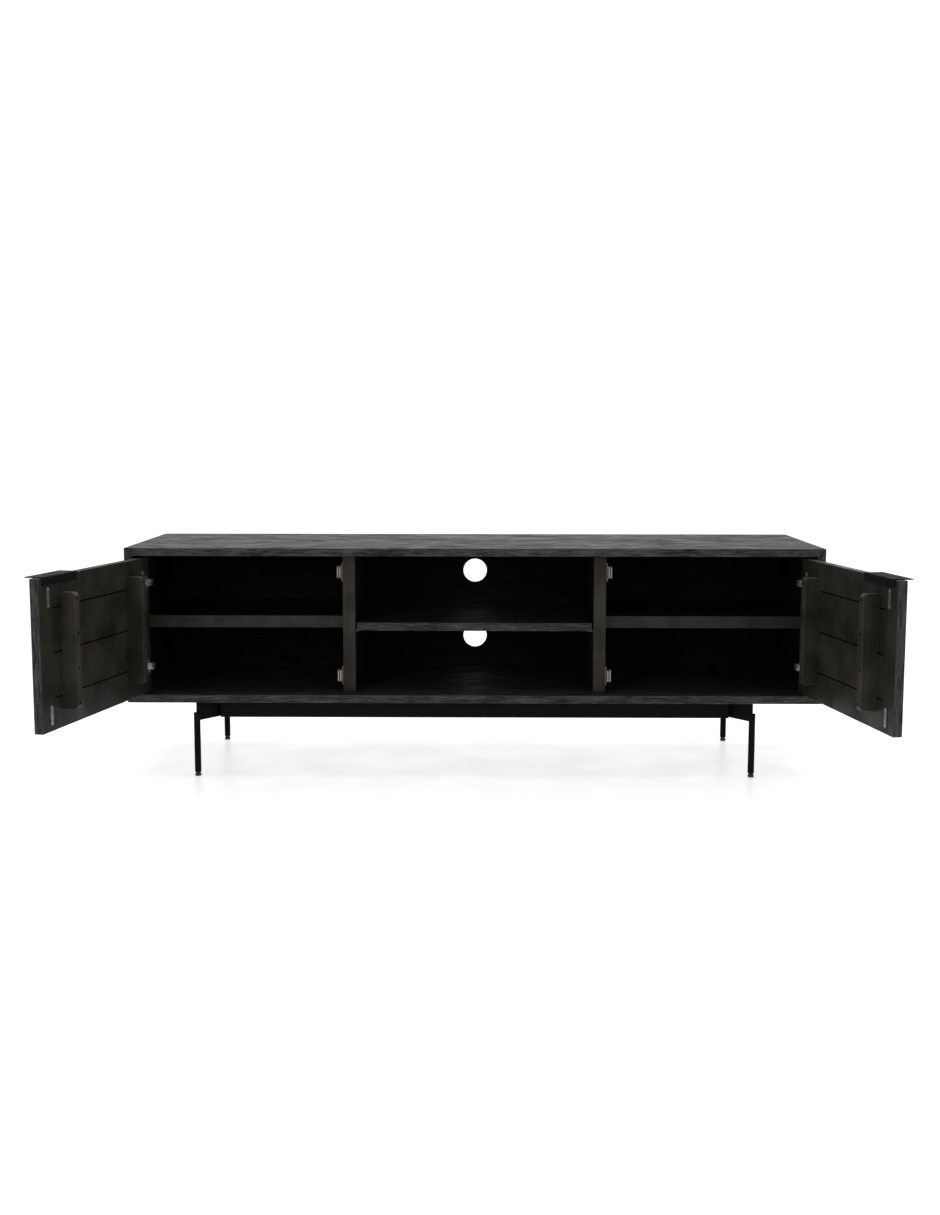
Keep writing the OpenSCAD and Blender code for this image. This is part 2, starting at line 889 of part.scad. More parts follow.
module handle_screws() {
    color(nickel) {
        handle_fixings(0);
        for (s = handle_screws_s) translate([s, handle_t, handle_screw_z])
            rod_y(handle_head_r, handle_head_t);
    }
}

module strike_plates() {
    color(nickel) difference() {
        at_strikes() oblong_z(strike_w, strike_l, strike_t);
        strike_fixings(clearance);
    }
}

module strike_screws() {
    color(zinc) {
        strike_fixings(0);
        at_strikes() for (dz = [-1, 1])
            translate([0, strike_t, dz * strike_screw_dz]) rod_y(strike_head_r, strike_head_t);
    }
}

module hinge_cup() {
    inside_r = cup_r - cup_wall;
    floor_y = -cup_depth + cup_wall;
    lug_y = -pin_depth - lug_half;
    difference() {
        union() {
            translate([cup_s, -cup_depth, 0]) rod_y(cup_r, cup_depth);
            translate([cup_s, 0, 0]) rod_y(cup_rim_r, cup_flange_t);
            for (dz = [-1, 1]) translate([cup_ear_s, 0, dz * cup_ear_dz])
                rod_y(cup_ear_r, cup_flange_t);
            translate([cup_ear_s - cup_ear_r, 0, -cup_ear_dz])
                cube([2 * cup_ear_r, cup_flange_t, 2 * cup_ear_dz]);
        }
        difference() {
            translate([cup_s, floor_y, 0]) rod_y(inside_r, cup_depth + cup_flange_t);
            for (side = [-1, 1])
                translate([pin_s - lug_half, floor_y - 1, side * (lug_from + lug_to) / 2 - (lug_to - lug_from) / 2])
                    cube([2 * lug_half, 2 * lug_half + lug_y - floor_y + 1, lug_to - lug_from]);
        }
        translate([pin_s, -pin_depth, -lug_to - 1]) cylinder(r = eye_bore_r, h = 2 * lug_to + 2);
    }
}

module hinge_cups() {
    color(nickel) difference() {
        for (z = hinges_local_z) translate([0, 0, z]) hinge_cup();
        cup_fixings(clearance);
    }
}

module cup_screws() {
    color(zinc) {
        cup_fixings(0);
        for (z = hinges_local_z, dz = [-1, 1])
            translate([cup_ear_s, cup_flange_t, z + dz * cup_ear_dz]) rod_y(cup_head_r, cup_head_t);
    }
}

module hinge_pins() {
    color(zinc) for (z = hinges_local_z)
        translate([pin_s, -pin_depth, z - lug_to]) cylinder(r = pin_r, h = 2 * lug_to);
}

module left_door_panel() { left_hang() door_panel(); }
module left_door_battens() { left_hang() door_battens(); }
module left_batten_screws() { left_hang() batten_screws(); }
module left_handle() { left_hang() door_handle(); }
module left_handle_screws() { left_hang() handle_screws(); }
module left_strike_plates() { left_hang() strike_plates(); }
module left_strike_screws() { left_hang() strike_screws(); }
module left_hinge_cups() { left_hang() hinge_cups(); }
module left_cup_screws() { left_hang() cup_screws(); }
module left_hinge_pins() { left_hang() hinge_pins(); }
module right_door_panel() { right_hang() door_panel(); }
module right_door_battens() { right_hang() door_battens(); }
module right_batten_screws() { right_hang() batten_screws(); }
module right_handle() { right_hang() door_handle(); }
module right_handle_screws() { right_hang() handle_screws(); }
module right_strike_plates() { right_hang() strike_plates(); }
module right_strike_screws() { right_hang() strike_screws(); }
module right_hinge_cups() { right_hang() hinge_cups(); }
module right_cup_screws() { right_hang() cup_screws(); }
module right_hinge_pins() { right_hang() hinge_pins(); }

top_panel();
bottom_panel();
left_side_panel();
right_side_panel();
back_panel();
back_panel_screws();
mitre_splines();
divider_dowels();
left_divider();
right_divider();
left_shelf();
right_shelf();
middle_shelf();
side_shelf_pegs();
middle_shelf_pegs();
catch_housings();
catch_magnets();
catch_pole_plates();
catch_screws();
hinge_mounting_plates();
mounting_plate_screws();
hinge_arms();
arm_clamp_screws();
front_rail();
rear_rail();
rail_end_plates();
corner_wings();
corner_pads();
mounting_tabs();
cross_bars();
base_screws();
front_left_leg();
front_right_leg();
rear_left_leg();
rear_right_leg();
front_left_foot();
front_right_foot();
rear_left_foot();
rear_right_foot();
left_door_panel();
left_door_battens();
left_batten_screws();
left_handle();
left_handle_screws();
left_strike_plates();
left_strike_screws();
left_hinge_cups();
left_cup_screws();
left_hinge_pins();
right_door_panel();
right_door_battens();
right_batten_screws();
right_handle();
right_handle_screws();
right_strike_plates();
right_strike_screws();
right_hinge_cups();
right_cup_screws();
right_hinge_pins();
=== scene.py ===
"""Looks of the media cabinet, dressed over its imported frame.

The frame gives every place and size. Boards, doors, steel parts and fittings are eased
copies of the frame's solids, plain screws become driven ones, the levelling feet get their
thread, and every part gets a procedural finish.
"""
import json
import logging
import math
from collections.abc import Callable, Iterable
from dataclasses import dataclass, field
from enum import Enum

import bmesh
import bpy
from mathutils import Matrix, Vector

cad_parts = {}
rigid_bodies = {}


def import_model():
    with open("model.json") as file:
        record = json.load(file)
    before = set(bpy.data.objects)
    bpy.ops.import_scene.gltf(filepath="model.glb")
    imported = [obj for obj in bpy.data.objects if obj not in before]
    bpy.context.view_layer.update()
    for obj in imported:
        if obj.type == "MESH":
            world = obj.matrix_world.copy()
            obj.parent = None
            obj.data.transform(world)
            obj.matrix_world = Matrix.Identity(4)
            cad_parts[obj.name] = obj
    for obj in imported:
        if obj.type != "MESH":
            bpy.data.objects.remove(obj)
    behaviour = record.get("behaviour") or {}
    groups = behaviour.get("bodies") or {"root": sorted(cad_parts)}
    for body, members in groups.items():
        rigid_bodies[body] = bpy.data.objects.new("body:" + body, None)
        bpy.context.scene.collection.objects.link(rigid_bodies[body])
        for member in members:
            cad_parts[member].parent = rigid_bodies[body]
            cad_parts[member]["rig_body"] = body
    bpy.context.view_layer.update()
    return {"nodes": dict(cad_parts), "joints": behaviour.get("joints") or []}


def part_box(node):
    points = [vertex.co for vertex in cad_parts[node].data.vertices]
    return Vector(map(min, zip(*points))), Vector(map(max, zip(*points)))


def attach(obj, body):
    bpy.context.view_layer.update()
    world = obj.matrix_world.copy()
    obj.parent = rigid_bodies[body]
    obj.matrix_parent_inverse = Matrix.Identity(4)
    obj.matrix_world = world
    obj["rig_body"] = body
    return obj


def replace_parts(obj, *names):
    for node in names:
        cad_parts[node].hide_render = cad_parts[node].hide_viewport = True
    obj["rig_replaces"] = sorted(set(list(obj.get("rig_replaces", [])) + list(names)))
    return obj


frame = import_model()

LOG = logging.getLogger("media_cabinet")
MM = 0.001
WELD = 1e-6
FLAT_ANGLE = math.radians(0.4)
SHARP_ANGLE = math.radians(32)
CORNER_ANGLE = math.radians(35)
GOLDEN_ANGLE = math.radians(137.5)
TOUCH = 1e-5
FACING = 0.35

Colour = tuple[float, float, float]
EdgeTest = Callable[[Vector, Vector], bool]
FaceTest = Callable[[Vector, Vector], bool]


class Axis(Enum):
    """An axis of a part's own frame."""

    X = 0
    Y = 1
    Z = 2

    @property
    def vector(self) -> Vector:
        """The unit vector along this axis."""
        return Vector([1.0 if i == self.value else 0.0 for i in range(3)])


class Side(Enum):
    """The two doors' sides, with the direction of X outwards."""

    LEFT = -1
    RIGHT = 1

    @property
    def word(self) -> str:
        """The side's name as the frame's nodes spell it."""
        return self.name.lower()


# ---------- node trees ----------


class Graph:
    """A shader node tree while it is being built."""

    def __init__(self, tree: bpy.types.NodeTree) -> None:
        """Starts on an empty tree.

        Args:
            tree: the node tree of a material, a world or a group.
        """
        self.tree = tree
        tree.nodes.clear()

    def add(self, kind: str, **settings: object) -> bpy.types.Node:
        """Adds one node.

        Args:
            kind: the node's type name.
            **settings: properties to set on it.

        Returns:
            The new node.
        """
        node = self.tree.nodes.new(kind)
        for key, value in settings.items():
            setattr(node, key, value)
        return node

    def feed(self, value: object, socket: bpy.types.NodeSocket) -> None:
        """Links an output to a socket, or sets the socket to a plain value."""
        if isinstance(value, bpy.types.NodeSocket):
            self.tree.links.new(value, socket)
        else:
            socket.default_value = value

    def math(self, operation: str, *values: object, clamp: bool = False) -> bpy.types.NodeSocket:
        """A Math node.

        Args:
            operation: the node's operation.
            *values: numbers or outputs, in order.
            clamp: whether the result is kept within 0 and 1.

        Returns:
            The result's output.
        """
        node = self.add("ShaderNodeMath", operation=operation, use_clamp=clamp)
        for value, socket in zip(values, node.inputs):
            self.feed(value, socket)
        return node.outputs[0]

    def vector(self, operation: str, *values: object) -> bpy.types.NodeSocket:
        """A Vector Math node.

        Args:
            operation: the node's operation.
            *values: vectors or outputs, in order.

        Returns:
            The resulting vector's output.
        """
        node = self.add("ShaderNodeVectorMath", operation=operation)
        for value, socket in zip(values, node.inputs):
            self.feed(value, socket)
        return node.outputs[0]

    def noise(self, point: object, scale: float, detail: float = 3.0, rough: float = 0.55,
              warp: float = 0.0) -> bpy.types.NodeSocket:
        """Smooth noise over the surface.

        Args:
            point: the vector output to sample at.
            scale: features for each unit of the vector.
            detail: octaves added.
            rough: share of each finer octave.
            warp: distortion of the pattern.

        Returns:
            The noise, mostly within 0.25 and 0.75.
        """
        node = self.add("ShaderNodeTexNoise", noise_dimensions="3D")
        self.feed(point, node.inputs["Vector"])
        node.inputs["Scale"].default_value = scale
        node.inputs["Detail"].default_value = detail
        node.inputs["Roughness"].default_value = rough
        node.inputs["Distortion"].default_value = warp
        return node.outputs[0]

    def ramp(self, value: object, low: float, high: float, start: float = 0.0,
             end: float = 1.0) -> bpy.types.NodeSocket:
        """A value remapped with smooth ends.

        Args:
            value: the output to remap.
            low: where the result is start.
            high: where the result is end.
            start: the result at and below low.
            end: the result at and above high.

        Returns:
            The remapped value's output.
        """
        node = self.add("ShaderNodeMapRange", interpolation_type="SMOOTHSTEP", clamp=True)
        for key, number in (("Value", value), ("From Min", low), ("From Max", high),
                            ("To Min", start), ("To Max", end)):
            self.feed(number, node.inputs[key])
        return node.outputs[0]

    def blend(self, share: object, first: object, second: object,
              mode: str = "MIX") -> bpy.types.NodeSocket:
        """Two colours mixed.

        Args:
            share: how much of the second shows.
            first: a colour or an output.
            second: a colour or an output.
            mode: the blending mode.

        Returns:
            The mixed colour's output.
        """
        node = self.add("ShaderNodeMix", data_type="RGBA", blend_type=mode)
        self.feed(share, node.inputs[0])
        for value, socket in ((first, node.inputs[6]), (second, node.inputs[7])):
            self.feed((*value, 1.0) if isinstance(value, tuple) else value, socket)
        return node.outputs[2]

    def group(self, tree: bpy.types.NodeTree, **values: object) -> dict[str, bpy.types.NodeSocket]:
        """Places a node group.

        Args:
            tree: the group's tree.
            **values: its inputs by name, with underscores for spaces.

        Returns:
            Its outputs by name.
        """
        node = self.add("ShaderNodeGroup", node_tree=tree)
        for key, value in values.items():
            self.feed(value, node.inputs[key.replace("_", " ")])
        return {output.name: output for output in node.outputs}

    def combine(self, *values: object) -> bpy.types.NodeSocket:
        """A vector made of three numbers or outputs."""
        node = self.add("ShaderNodeCombineXYZ")
        for value, socket in zip(values, node.inputs):
            self.feed(value, socket)
        return node.outputs[0]

    def split(self, vector: object) -> bpy.types.NodeOutputs:
        """A vector's three parts."""
        node = self.add("ShaderNodeSeparateXYZ")
        self.feed(vector, node.inputs[0])
        return node.outputs

    def scaled(self, vector: object, factor: object) -> bpy.types.NodeSocket:
        """A vector times a number."""
        result = self.vector("SCALE", vector)
        self.feed(factor, result.node.inputs["Scale"])
        return result

    def weigh(self, first: object, second: object, share: float,
              clamp: bool = False) -> bpy.types.NodeSocket:
        """Two outputs added by weight.

        Args:
            first: the output that counts for the share.
            second: the output that counts for the rest.
            share: the first's weight.
            clamp: whether the result is kept within 0 and 1.

        Returns:
            The sum's output.
        """
        return self.math("ADD", self.math("MULTIPLY", first, share),
                         self.math("MULTIPLY", second, 1.0 - share), clamp=clamp)


POINT = ("Point", "NodeSocketVector", (0.0, 0.0, 0.0))
FLOAT = "NodeSocketFloat"


class Effect:
    """A shared surface effect, kept as one shader node group with named sockets."""

    name = "effect"
    inputs: tuple[tuple[str, str, object], ...] = ()
    outputs: tuple[str, ...] = ()

    def tree(self) -> bpy.types.NodeTree:
        """The effect's group, built the first time it is asked for.

        Returns:
            The node group's tree.
        """
        made = bpy.data.node_groups.get(self.name)
        if made:
            return made
        made = bpy.data.node_groups.new(self.name, "ShaderNodeTree")
        for label, kind, start in self.inputs:
            socket = made.interface.new_socket(label, in_out="INPUT", socket_type=kind)
            socket.default_value = start
        for label in self.outputs:
            made.interface.new_socket(label, in_out="OUTPUT", socket_type="NodeSocketFloat")
        graph = Graph(made)
        start = graph.add("NodeGroupInput")
        end = graph.add("NodeGroupOutput")
        for label, value in self.wire(graph, start.outputs).items():
            graph.feed(value, end.inputs[label])
        return made

    def wire(self, graph: Graph, given: bpy.types.NodeOutputs) -> dict[str, object]:
        """Builds the inside of the group; each effect has its own."""
        raise NotImplementedError


class OpenGrain(Effect):
    """Brushed open grain that runs along the point's first axis."""

    name = "open_grain"
    inputs = (POINT, ("Fineness", FLOAT, 240.0), ("Run", FLOAT, 5.0), ("Seed", FLOAT, 0.0))
    outputs = ("Streaks", "Pores", "Figure")

    def wire(self, graph: Graph, given: bpy.types.NodeOutputs) -> dict[str, object]:
        """Streaks, pores and broad figure.

        Args:
            graph: the group's graph.
            given: the group's inputs.

        Returns:
            The group's outputs by name.
        """
        offset = graph.scaled((7.31, 3.17, 5.71), given["Seed"])
        point = graph.vector("ADD", given["Point"], offset)
        sway = graph.noise(graph.vector("MULTIPLY", point, (1.3, 9.0, 9.0)), 1.0, 2.0)
        drift = graph.math("MULTIPLY", graph.math("SUBTRACT", sway, 0.5), 0.03)
        swayed = graph.vector("ADD", point, graph.combine(0.0, drift, drift))

        def stretched(run: float, across: float) -> bpy.types.NodeSocket:
            """The point drawn out along the grain."""
            wide = graph.math("MULTIPLY", given["Fineness"], across)
            long = graph.math("MULTIPLY", given["Run"], run)
            return graph.vector("MULTIPLY", swayed, graph.combine(long, wide, wide))

        fine = graph.noise(stretched(1.0, 1.0), 1.0, 4.0, 0.62)
        broad = graph.noise(stretched(0.45, 0.16), 1.0, 3.0, 0.55, 0.3)
        both = graph.weigh(fine, broad, 0.7)
        dashes = graph.noise(stretched(5.0, 2.4), 1.0, 1.0, 0.4)
        figure = graph.noise(stretched(0.22, 0.045), 1.0, 3.0, 0.5, 1.2)
        return {"Streaks": graph.ramp(both, 0.38, 0.62), "Pores": graph.ramp(dashes, 0.6, 0.72),
                "Figure": graph.ramp(figure, 0.32, 0.68)}


class EdgeWear(Effect):
    """A rubbed band along the twelve arrises of a board's box."""

    name = "edge_wear"
    inputs = (POINT, ("Low", "NodeSocketVector", (0.0, 0.0, 0.0)),
              ("High", "NodeSocketVector", (1.0, 1.0, 1.0)), ("Width", FLOAT, 0.002),
              ("Breakup", FLOAT, 0.003))
    outputs = ("Wear",)

    def wire(self, graph: Graph, given: bpy.types.NodeOutputs) -> dict[str, object]:
        """The second smallest distance to the box's faces, broken up by noise.

        Args:
            graph: the group's graph.
            given: the group's inputs.

        Returns:
            The group's outputs by name.
        """
        nearest = graph.vector("MINIMUM", graph.vector("SUBTRACT", given["Point"], given["Low"]),
                               graph.vector("SUBTRACT", given["High"], given["Point"]))
        x, y, z = graph.split(nearest)
        second = graph.math("MAXIMUM", graph.math("MINIMUM", x, y),
                            graph.math("MINIMUM", graph.math("MAXIMUM", x, y), z))
        grit = graph.math("SUBTRACT", graph.noise(given["Point"], 160.0, 4.0, 0.7), 0.5)
        rough = graph.math("ADD", second, graph.math("MULTIPLY", grit, given["Breakup"]))
        return {"Wear": graph.math("SUBTRACT", 1.0, graph.ramp(rough, 0.0, given["Width"]))}


class SoftMottle(Effect):
    """Slow cloudy variation, as in a sprayed coat."""

    name = "soft_mottle"
    inputs = (POINT, ("Size", FLOAT, 0.05))
    outputs = ("Mottle", "Peel")

    def wire(self, graph: Graph, given: bpy.types.NodeOutputs) -> dict[str, object]:
        """Clouds of the given size and the fine peel of the coat.

        Args:
            graph: the group's graph.
            given: the group's inputs.

        Returns:
            The group's outputs by name.
        """
        spread = graph.scaled(given["Point"], graph.math("DIVIDE", 1.0, given["Size"]))
        clouds = graph.noise(spread, 1.0, 3.0, 0.5)
        peel = graph.noise(given["Point"], 900.0, 2.0, 0.5)
        return {"Mottle": graph.ramp(clouds, 0.3, 0.7), "Peel": peel}


class SettledDust(Effect):
    """A thin, uneven film on surfaces that face up."""

    name = "settled_dust"
    inputs = (POINT, ("Amount", FLOAT, 0.1))
    outputs = ("Dust",)

    def wire(self, graph: Graph, given: bpy.types.NodeOutputs) -> dict[str, object]:
        """More on upward faces, less where the noise is low.

        Args:
            graph: the group's graph.
            given: the group's inputs.

        Returns:
            The group's outputs by name.
        """
        normal = graph.split(graph.add("ShaderNodeNewGeometry").outputs["Normal"])
        up = graph.ramp(normal[2], 0.75, 1.0)
        film = graph.ramp(graph.noise(given["Point"], 38.0, 5.0, 0.65), 0.35, 0.8)
        amount = graph.math("MULTIPLY", graph.math("MULTIPLY", up, film), given["Amount"])
        return {"Dust": amount}


class FineScratches(Effect):
    """Hairlines of plated and rubbed metal, along the point's second axis."""

    name = "fine_scratches"
    inputs = (POINT, ("Density", FLOAT, 2600.0))
    outputs = ("Scratches",)

    def wire(self, graph: Graph, given: bpy.types.NodeOutputs) -> dict[str, object]:
        """Long thin noise.

        Args:
            graph: the group's graph.
            given: the group's inputs.

        Returns:
            The group's outputs by name.
        """
        long = graph.math("MULTIPLY", given["Density"], 0.03)
        scale = graph.combine(given["Density"], long, given["Density"])
        lines = graph.noise(graph.vector("MULTIPLY", given["Point"], scale), 1.0, 3.0, 0.6)
        return {"Scratches": graph.ramp(lines, 0.3, 0.7)}


# ---------- finishes ----------


@dataclass(frozen=True)
class Stock:
    """A part's box in its own frame, the way its grain runs, and its seed."""

    low: Vector
    high: Vector
    grain: Axis = Axis.X
    seed: float = 0.0


@dataclass(frozen=True)
class Surface:
    """A part's material while it is being dressed."""

    graph: Graph
    shader: bpy.types.NodeInputs
    point: bpy.types.NodeSocket
    stock: Stock

    def grain(self, fineness: float, run: float) -> dict[str, bpy.types.NodeSocket]:
        """Open grain that runs along the part's own grain axis.

        Args:
            fineness: how closely the grain lies across its run, for each metre.
            run: how closely it repeats along its run, for each metre.

        Returns:
            The effect's outputs by name.
        """
        parts = self.graph.split(self.point)
        turned = self.graph.combine(*(parts[(self.stock.grain.value + i) % 3] for i in range(3)))
        return self.graph.group(OpenGrain().tree(), Point=turned, Fineness=fineness, Run=run,
                                Seed=self.stock.seed)

    def wear(self, width: float, breakup: float) -> bpy.types.NodeSocket:
        """Wear along the arrises of the part's box, with both sizes in metres."""
        return self.graph.group(EdgeWear().tree(), Point=self.point, Low=self.stock.low,
                                High=self.stock.high, Width=width, Breakup=breakup)["Wear"]

    def dust(self, amount: float) -> bpy.types.NodeSocket:
        """Dust on the faces that look up."""
        return self.graph.group(SettledDust().tree(), Point=self.point, Amount=amount)["Dust"]

    def coat(self, size: float) -> dict[str, bpy.types.NodeSocket]:
        """The mottle and the peel of a coat, with clouds of the given size in metres."""
        return self.graph.group(SoftMottle().tree(), Point=self.point, Size=size)

    def paint(self, colour: object, roughness: object) -> None:
        """Feeds the shader's colour and roughness."""
        self.graph.feed(colour, self.shader["Base Color"])
        self.graph.feed(roughness, self.shader["Roughness"])

    def bump(self, height: object, strength: float, depth: float) -> None:
        """Adds a bump to the shader.

        Args:
            height: the output that gives the height, 0 to 1.
            strength: how much of the bump shows.
            depth: the height in metres at 1.
        """
        node = self.graph.add("ShaderNodeBump")
        node.inputs["Strength"].default_value = strength
        node.inputs["Distance"].default_value = depth
        self.graph.feed(height, node.inputs["Height"])
        self.graph.feed(node.outputs[0], self.shader["Normal"])


def blank(name: str, stock: Stock) -> tuple[bpy.types.Material, Surface]:
    """A new material with a plain shader.

    Args:
        name: the material's name.
        stock: the part that it is for.

    Returns:
        The material, and its surface to dress.
    """
    made = bpy.data.materials.new(name)
    made.use_nodes = True
    graph = Graph(made.node_tree)
    shader = graph.add("ShaderNodeBsdfPrincipled")
    graph.feed(shader.outputs[0], graph.add("ShaderNodeOutputMaterial").inputs[0])
    point = graph.add("ShaderNodeTexCoord").outputs["Object"]
    return made, Surface(graph, shader.inputs, point, stock)


@dataclass(frozen=True)
class Finish:
    """What every finish shares: its record slot and how its material starts."""

    slot: str

    def material(self, name: str, stock: Stock) -> bpy.types.Material:
        """The finished material of a part."""
        made, surface = blank(name, stock)
        self.dress(surface)
        return made

    def dress(self, surface: Surface) -> None:
        """Feeds the shader's sockets; each finish has its own."""
        raise NotImplementedError


@dataclass(frozen=True)
class StainedWood(Finish):
    """Stained open-grain veneer, wire brushed, with rubbed arrises."""

    dark: Colour = (0.0022, 0.0022, 0.0023)
    light: Colour = (0.070, 0.070, 0.0705)
    rubbed: Colour = (0.06, 0.0585, 0.056)
    smooth: float = 0.32
    rough: float = 0.80
    gloss: float = 0.2
    fineness: float = 400.0
    run: float = 26.0
    relief: float = 0.9
    dust: float = 0.03

    def dress(self, surface: Surface) -> None:
        """Grain colour, sheen and relief, then wear and dust.

        Args:
            surface: the surface to dress.
        """
        graph = surface.graph
        grain = surface.grain(self.fineness, self.run)
        worn = surface.wear(width=1.6 * MM, breakup=4.0 * MM)
        dust = surface.dust(self.dust)
        tone = graph.weigh(grain["Streaks"], grain["Figure"], 0.72, clamp=True)
        colour = graph.blend(tone, self.dark, self.light)
        colour = graph.blend(graph.math("MULTIPLY", grain["Pores"], 0.8), colour, self.dark)
        colour = graph.blend(graph.math("MULTIPLY", worn, 0.4), colour, self.rubbed)
        shine = graph.ramp(tone, 0.0, 1.0, self.rough, self.smooth)
        surface.paint(graph.blend(dust, colour, (0.42, 0.41, 0.39)),
                      graph.math("ADD", shine, graph.math("MULTIPLY", dust, 0.5), clamp=True))
        surface.shader["Specular IOR Level"].default_value = self.gloss
        height = graph.math("SUBTRACT", grain["Streaks"], graph.math("MULTIPLY", grain["Pores"], 0.7))
        surface.bump(height, self.relief, 1.0 * MM)


@dataclass(frozen=True)
class SprayedLacquer(Finish):
    """Satin lacquer over close-grained board, with a faint telegraphed grain."""

    shade: Colour = (0.0068, 0.0060, 0.0042)
    pale: Colour = (0.027, 0.0245, 0.0185)
    rubbed: Colour = (0.075, 0.069, 0.058)
    smooth: float = 0.34
    rough: float = 0.52
    gloss: float = 0.12

    def dress(self, surface: Surface) -> None:
        """Clouded colour, faint grain, peel and rubbed arrises.

        Args:
            surface: the surface to dress.
        """
        graph = surface.graph
        grain = surface.grain(fineness=170.0, run=4.0)
        coat = surface.coat(size=0.07)
        worn = surface.wear(width=1.2 * MM, breakup=2.0 * MM)
        tone = graph.weigh(coat["Mottle"], grain["Streaks"], 0.72)
        colour = graph.blend(tone, self.shade, self.pale)
        surface.paint(graph.blend(graph.math("MULTIPLY", worn, 0.5), colour, self.rubbed),
                      graph.ramp(tone, 0.0, 1.0, self.rough, self.smooth))
        surface.shader["Specular IOR Level"].default_value = self.gloss
        surface.bump(graph.weigh(grain["Streaks"], coat["Peel"], 0.6), 0.4, 0.12 * MM)


@dataclass(frozen=True)
class PowderCoat(Finish):
    """Fine-texture powder coat on steel."""

    shade: Colour = (0.0024, 0.0023, 0.0027)
    pale: Colour = (0.0056, 0.0054, 0.0062)
    smooth: float = 0.52
    rough: float = 0.72

    def dress(self, surface: Surface) -> None:
        """Grit, clouds and a little dust.

        Args:
            surface: the surface to dress.
        """
        graph = surface.graph
        coat = surface.coat(size=0.03)
        grit = graph.noise(surface.point, 2600.0, 2.0, 0.6)
        tone = graph.weigh(coat["Mottle"], grit, 0.5)
        colour = graph.blend(tone, self.shade, self.pale)
        surface.paint(graph.blend(surface.dust(0.04), colour, (0.3, 0.3, 0.29)),
                      graph.ramp(tone, 0.2, 0.8, self.smooth, self.rough))
        surface.shader["Specular IOR Level"].default_value = 0.06
        surface.bump(graph.math("ADD", grit, coat["Peel"]), 0.45, 0.06 * MM)


@dataclass(frozen=True)
class PlatedMetal(Finish):
    """Nickel or zinc plating with hairlines and a clouded shine."""

    shade: Colour = (0.40, 0.39, 0.37)
    pale: Colour = (0.66, 0.65, 0.62)
    smooth: float = 0.26
    rough: float = 0.46

    def dress(self, surface: Surface) -> None:
        """Hairlines over a clouded plate.

        Args:
            surface: the surface to dress.
        """
        graph = surface.graph
        lines = graph.group(FineScratches().tree(), Point=surface.point, Density=2600.0)["Scratches"]
        tone = graph.weigh(lines, surface.coat(size=0.006)["Mottle"], 0.4)
        surface.paint(graph.blend(tone, self.shade, self.pale),
                      graph.ramp(tone, 0.0, 1.0, self.rough, self.smooth))
        surface.shader["Metallic"].default_value = 1.0
        surface.bump(lines, 0.2, 0.02 * MM)


@dataclass(frozen=True)
class MouldedPlastic(Finish):
    """Moulded plastic or nylon with a fine spark-eroded texture."""

    shade: Colour = (0.050, 0.025, 0.018)
    pale: Colour = (0.105, 0.056, 0.041)
    smooth: float = 0.36
    rough: float = 0.52

    def dress(self, surface: Surface) -> None:
        """Flow marks and texture.

        Args:
            surface: the surface to dress.
        """
        graph = surface.graph
        spark = graph.noise(surface.point, 3800.0, 2.0, 0.5)
        tone = graph.weigh(surface.coat(size=0.008)["Mottle"], spark, 0.6)
        surface.paint(graph.blend(tone, self.shade, self.pale),
                      graph.ramp(tone, 0.2, 0.8, self.smooth, self.rough))
        surface.bump(spark, 0.3, 0.03 * MM)


@dataclass(frozen=True)
class PaleTimber(Finish):
    """Unfinished close-grained timber with short flecks."""

    shade: Colour = (0.42, 0.27, 0.15)
    pale: Colour = (0.62, 0.45, 0.28)

    def dress(self, surface: Surface) -> None:
        """Fine grain and darker flecks.

        Args:
            surface: the surface to dress.
        """
        graph = surface.graph
        grain = surface.grain(fineness=500.0, run=14.0)
        colour = graph.blend(grain["Streaks"], self.shade, self.pale)
        surface.paint(graph.blend(graph.math("MULTIPLY", grain["Pores"], 0.5), colour, self.shade),
                      graph.ramp(grain["Streaks"], 0.0, 1.0, 0.75, 0.6))
        surface.bump(grain["Streaks"], 0.3, 0.08 * MM)


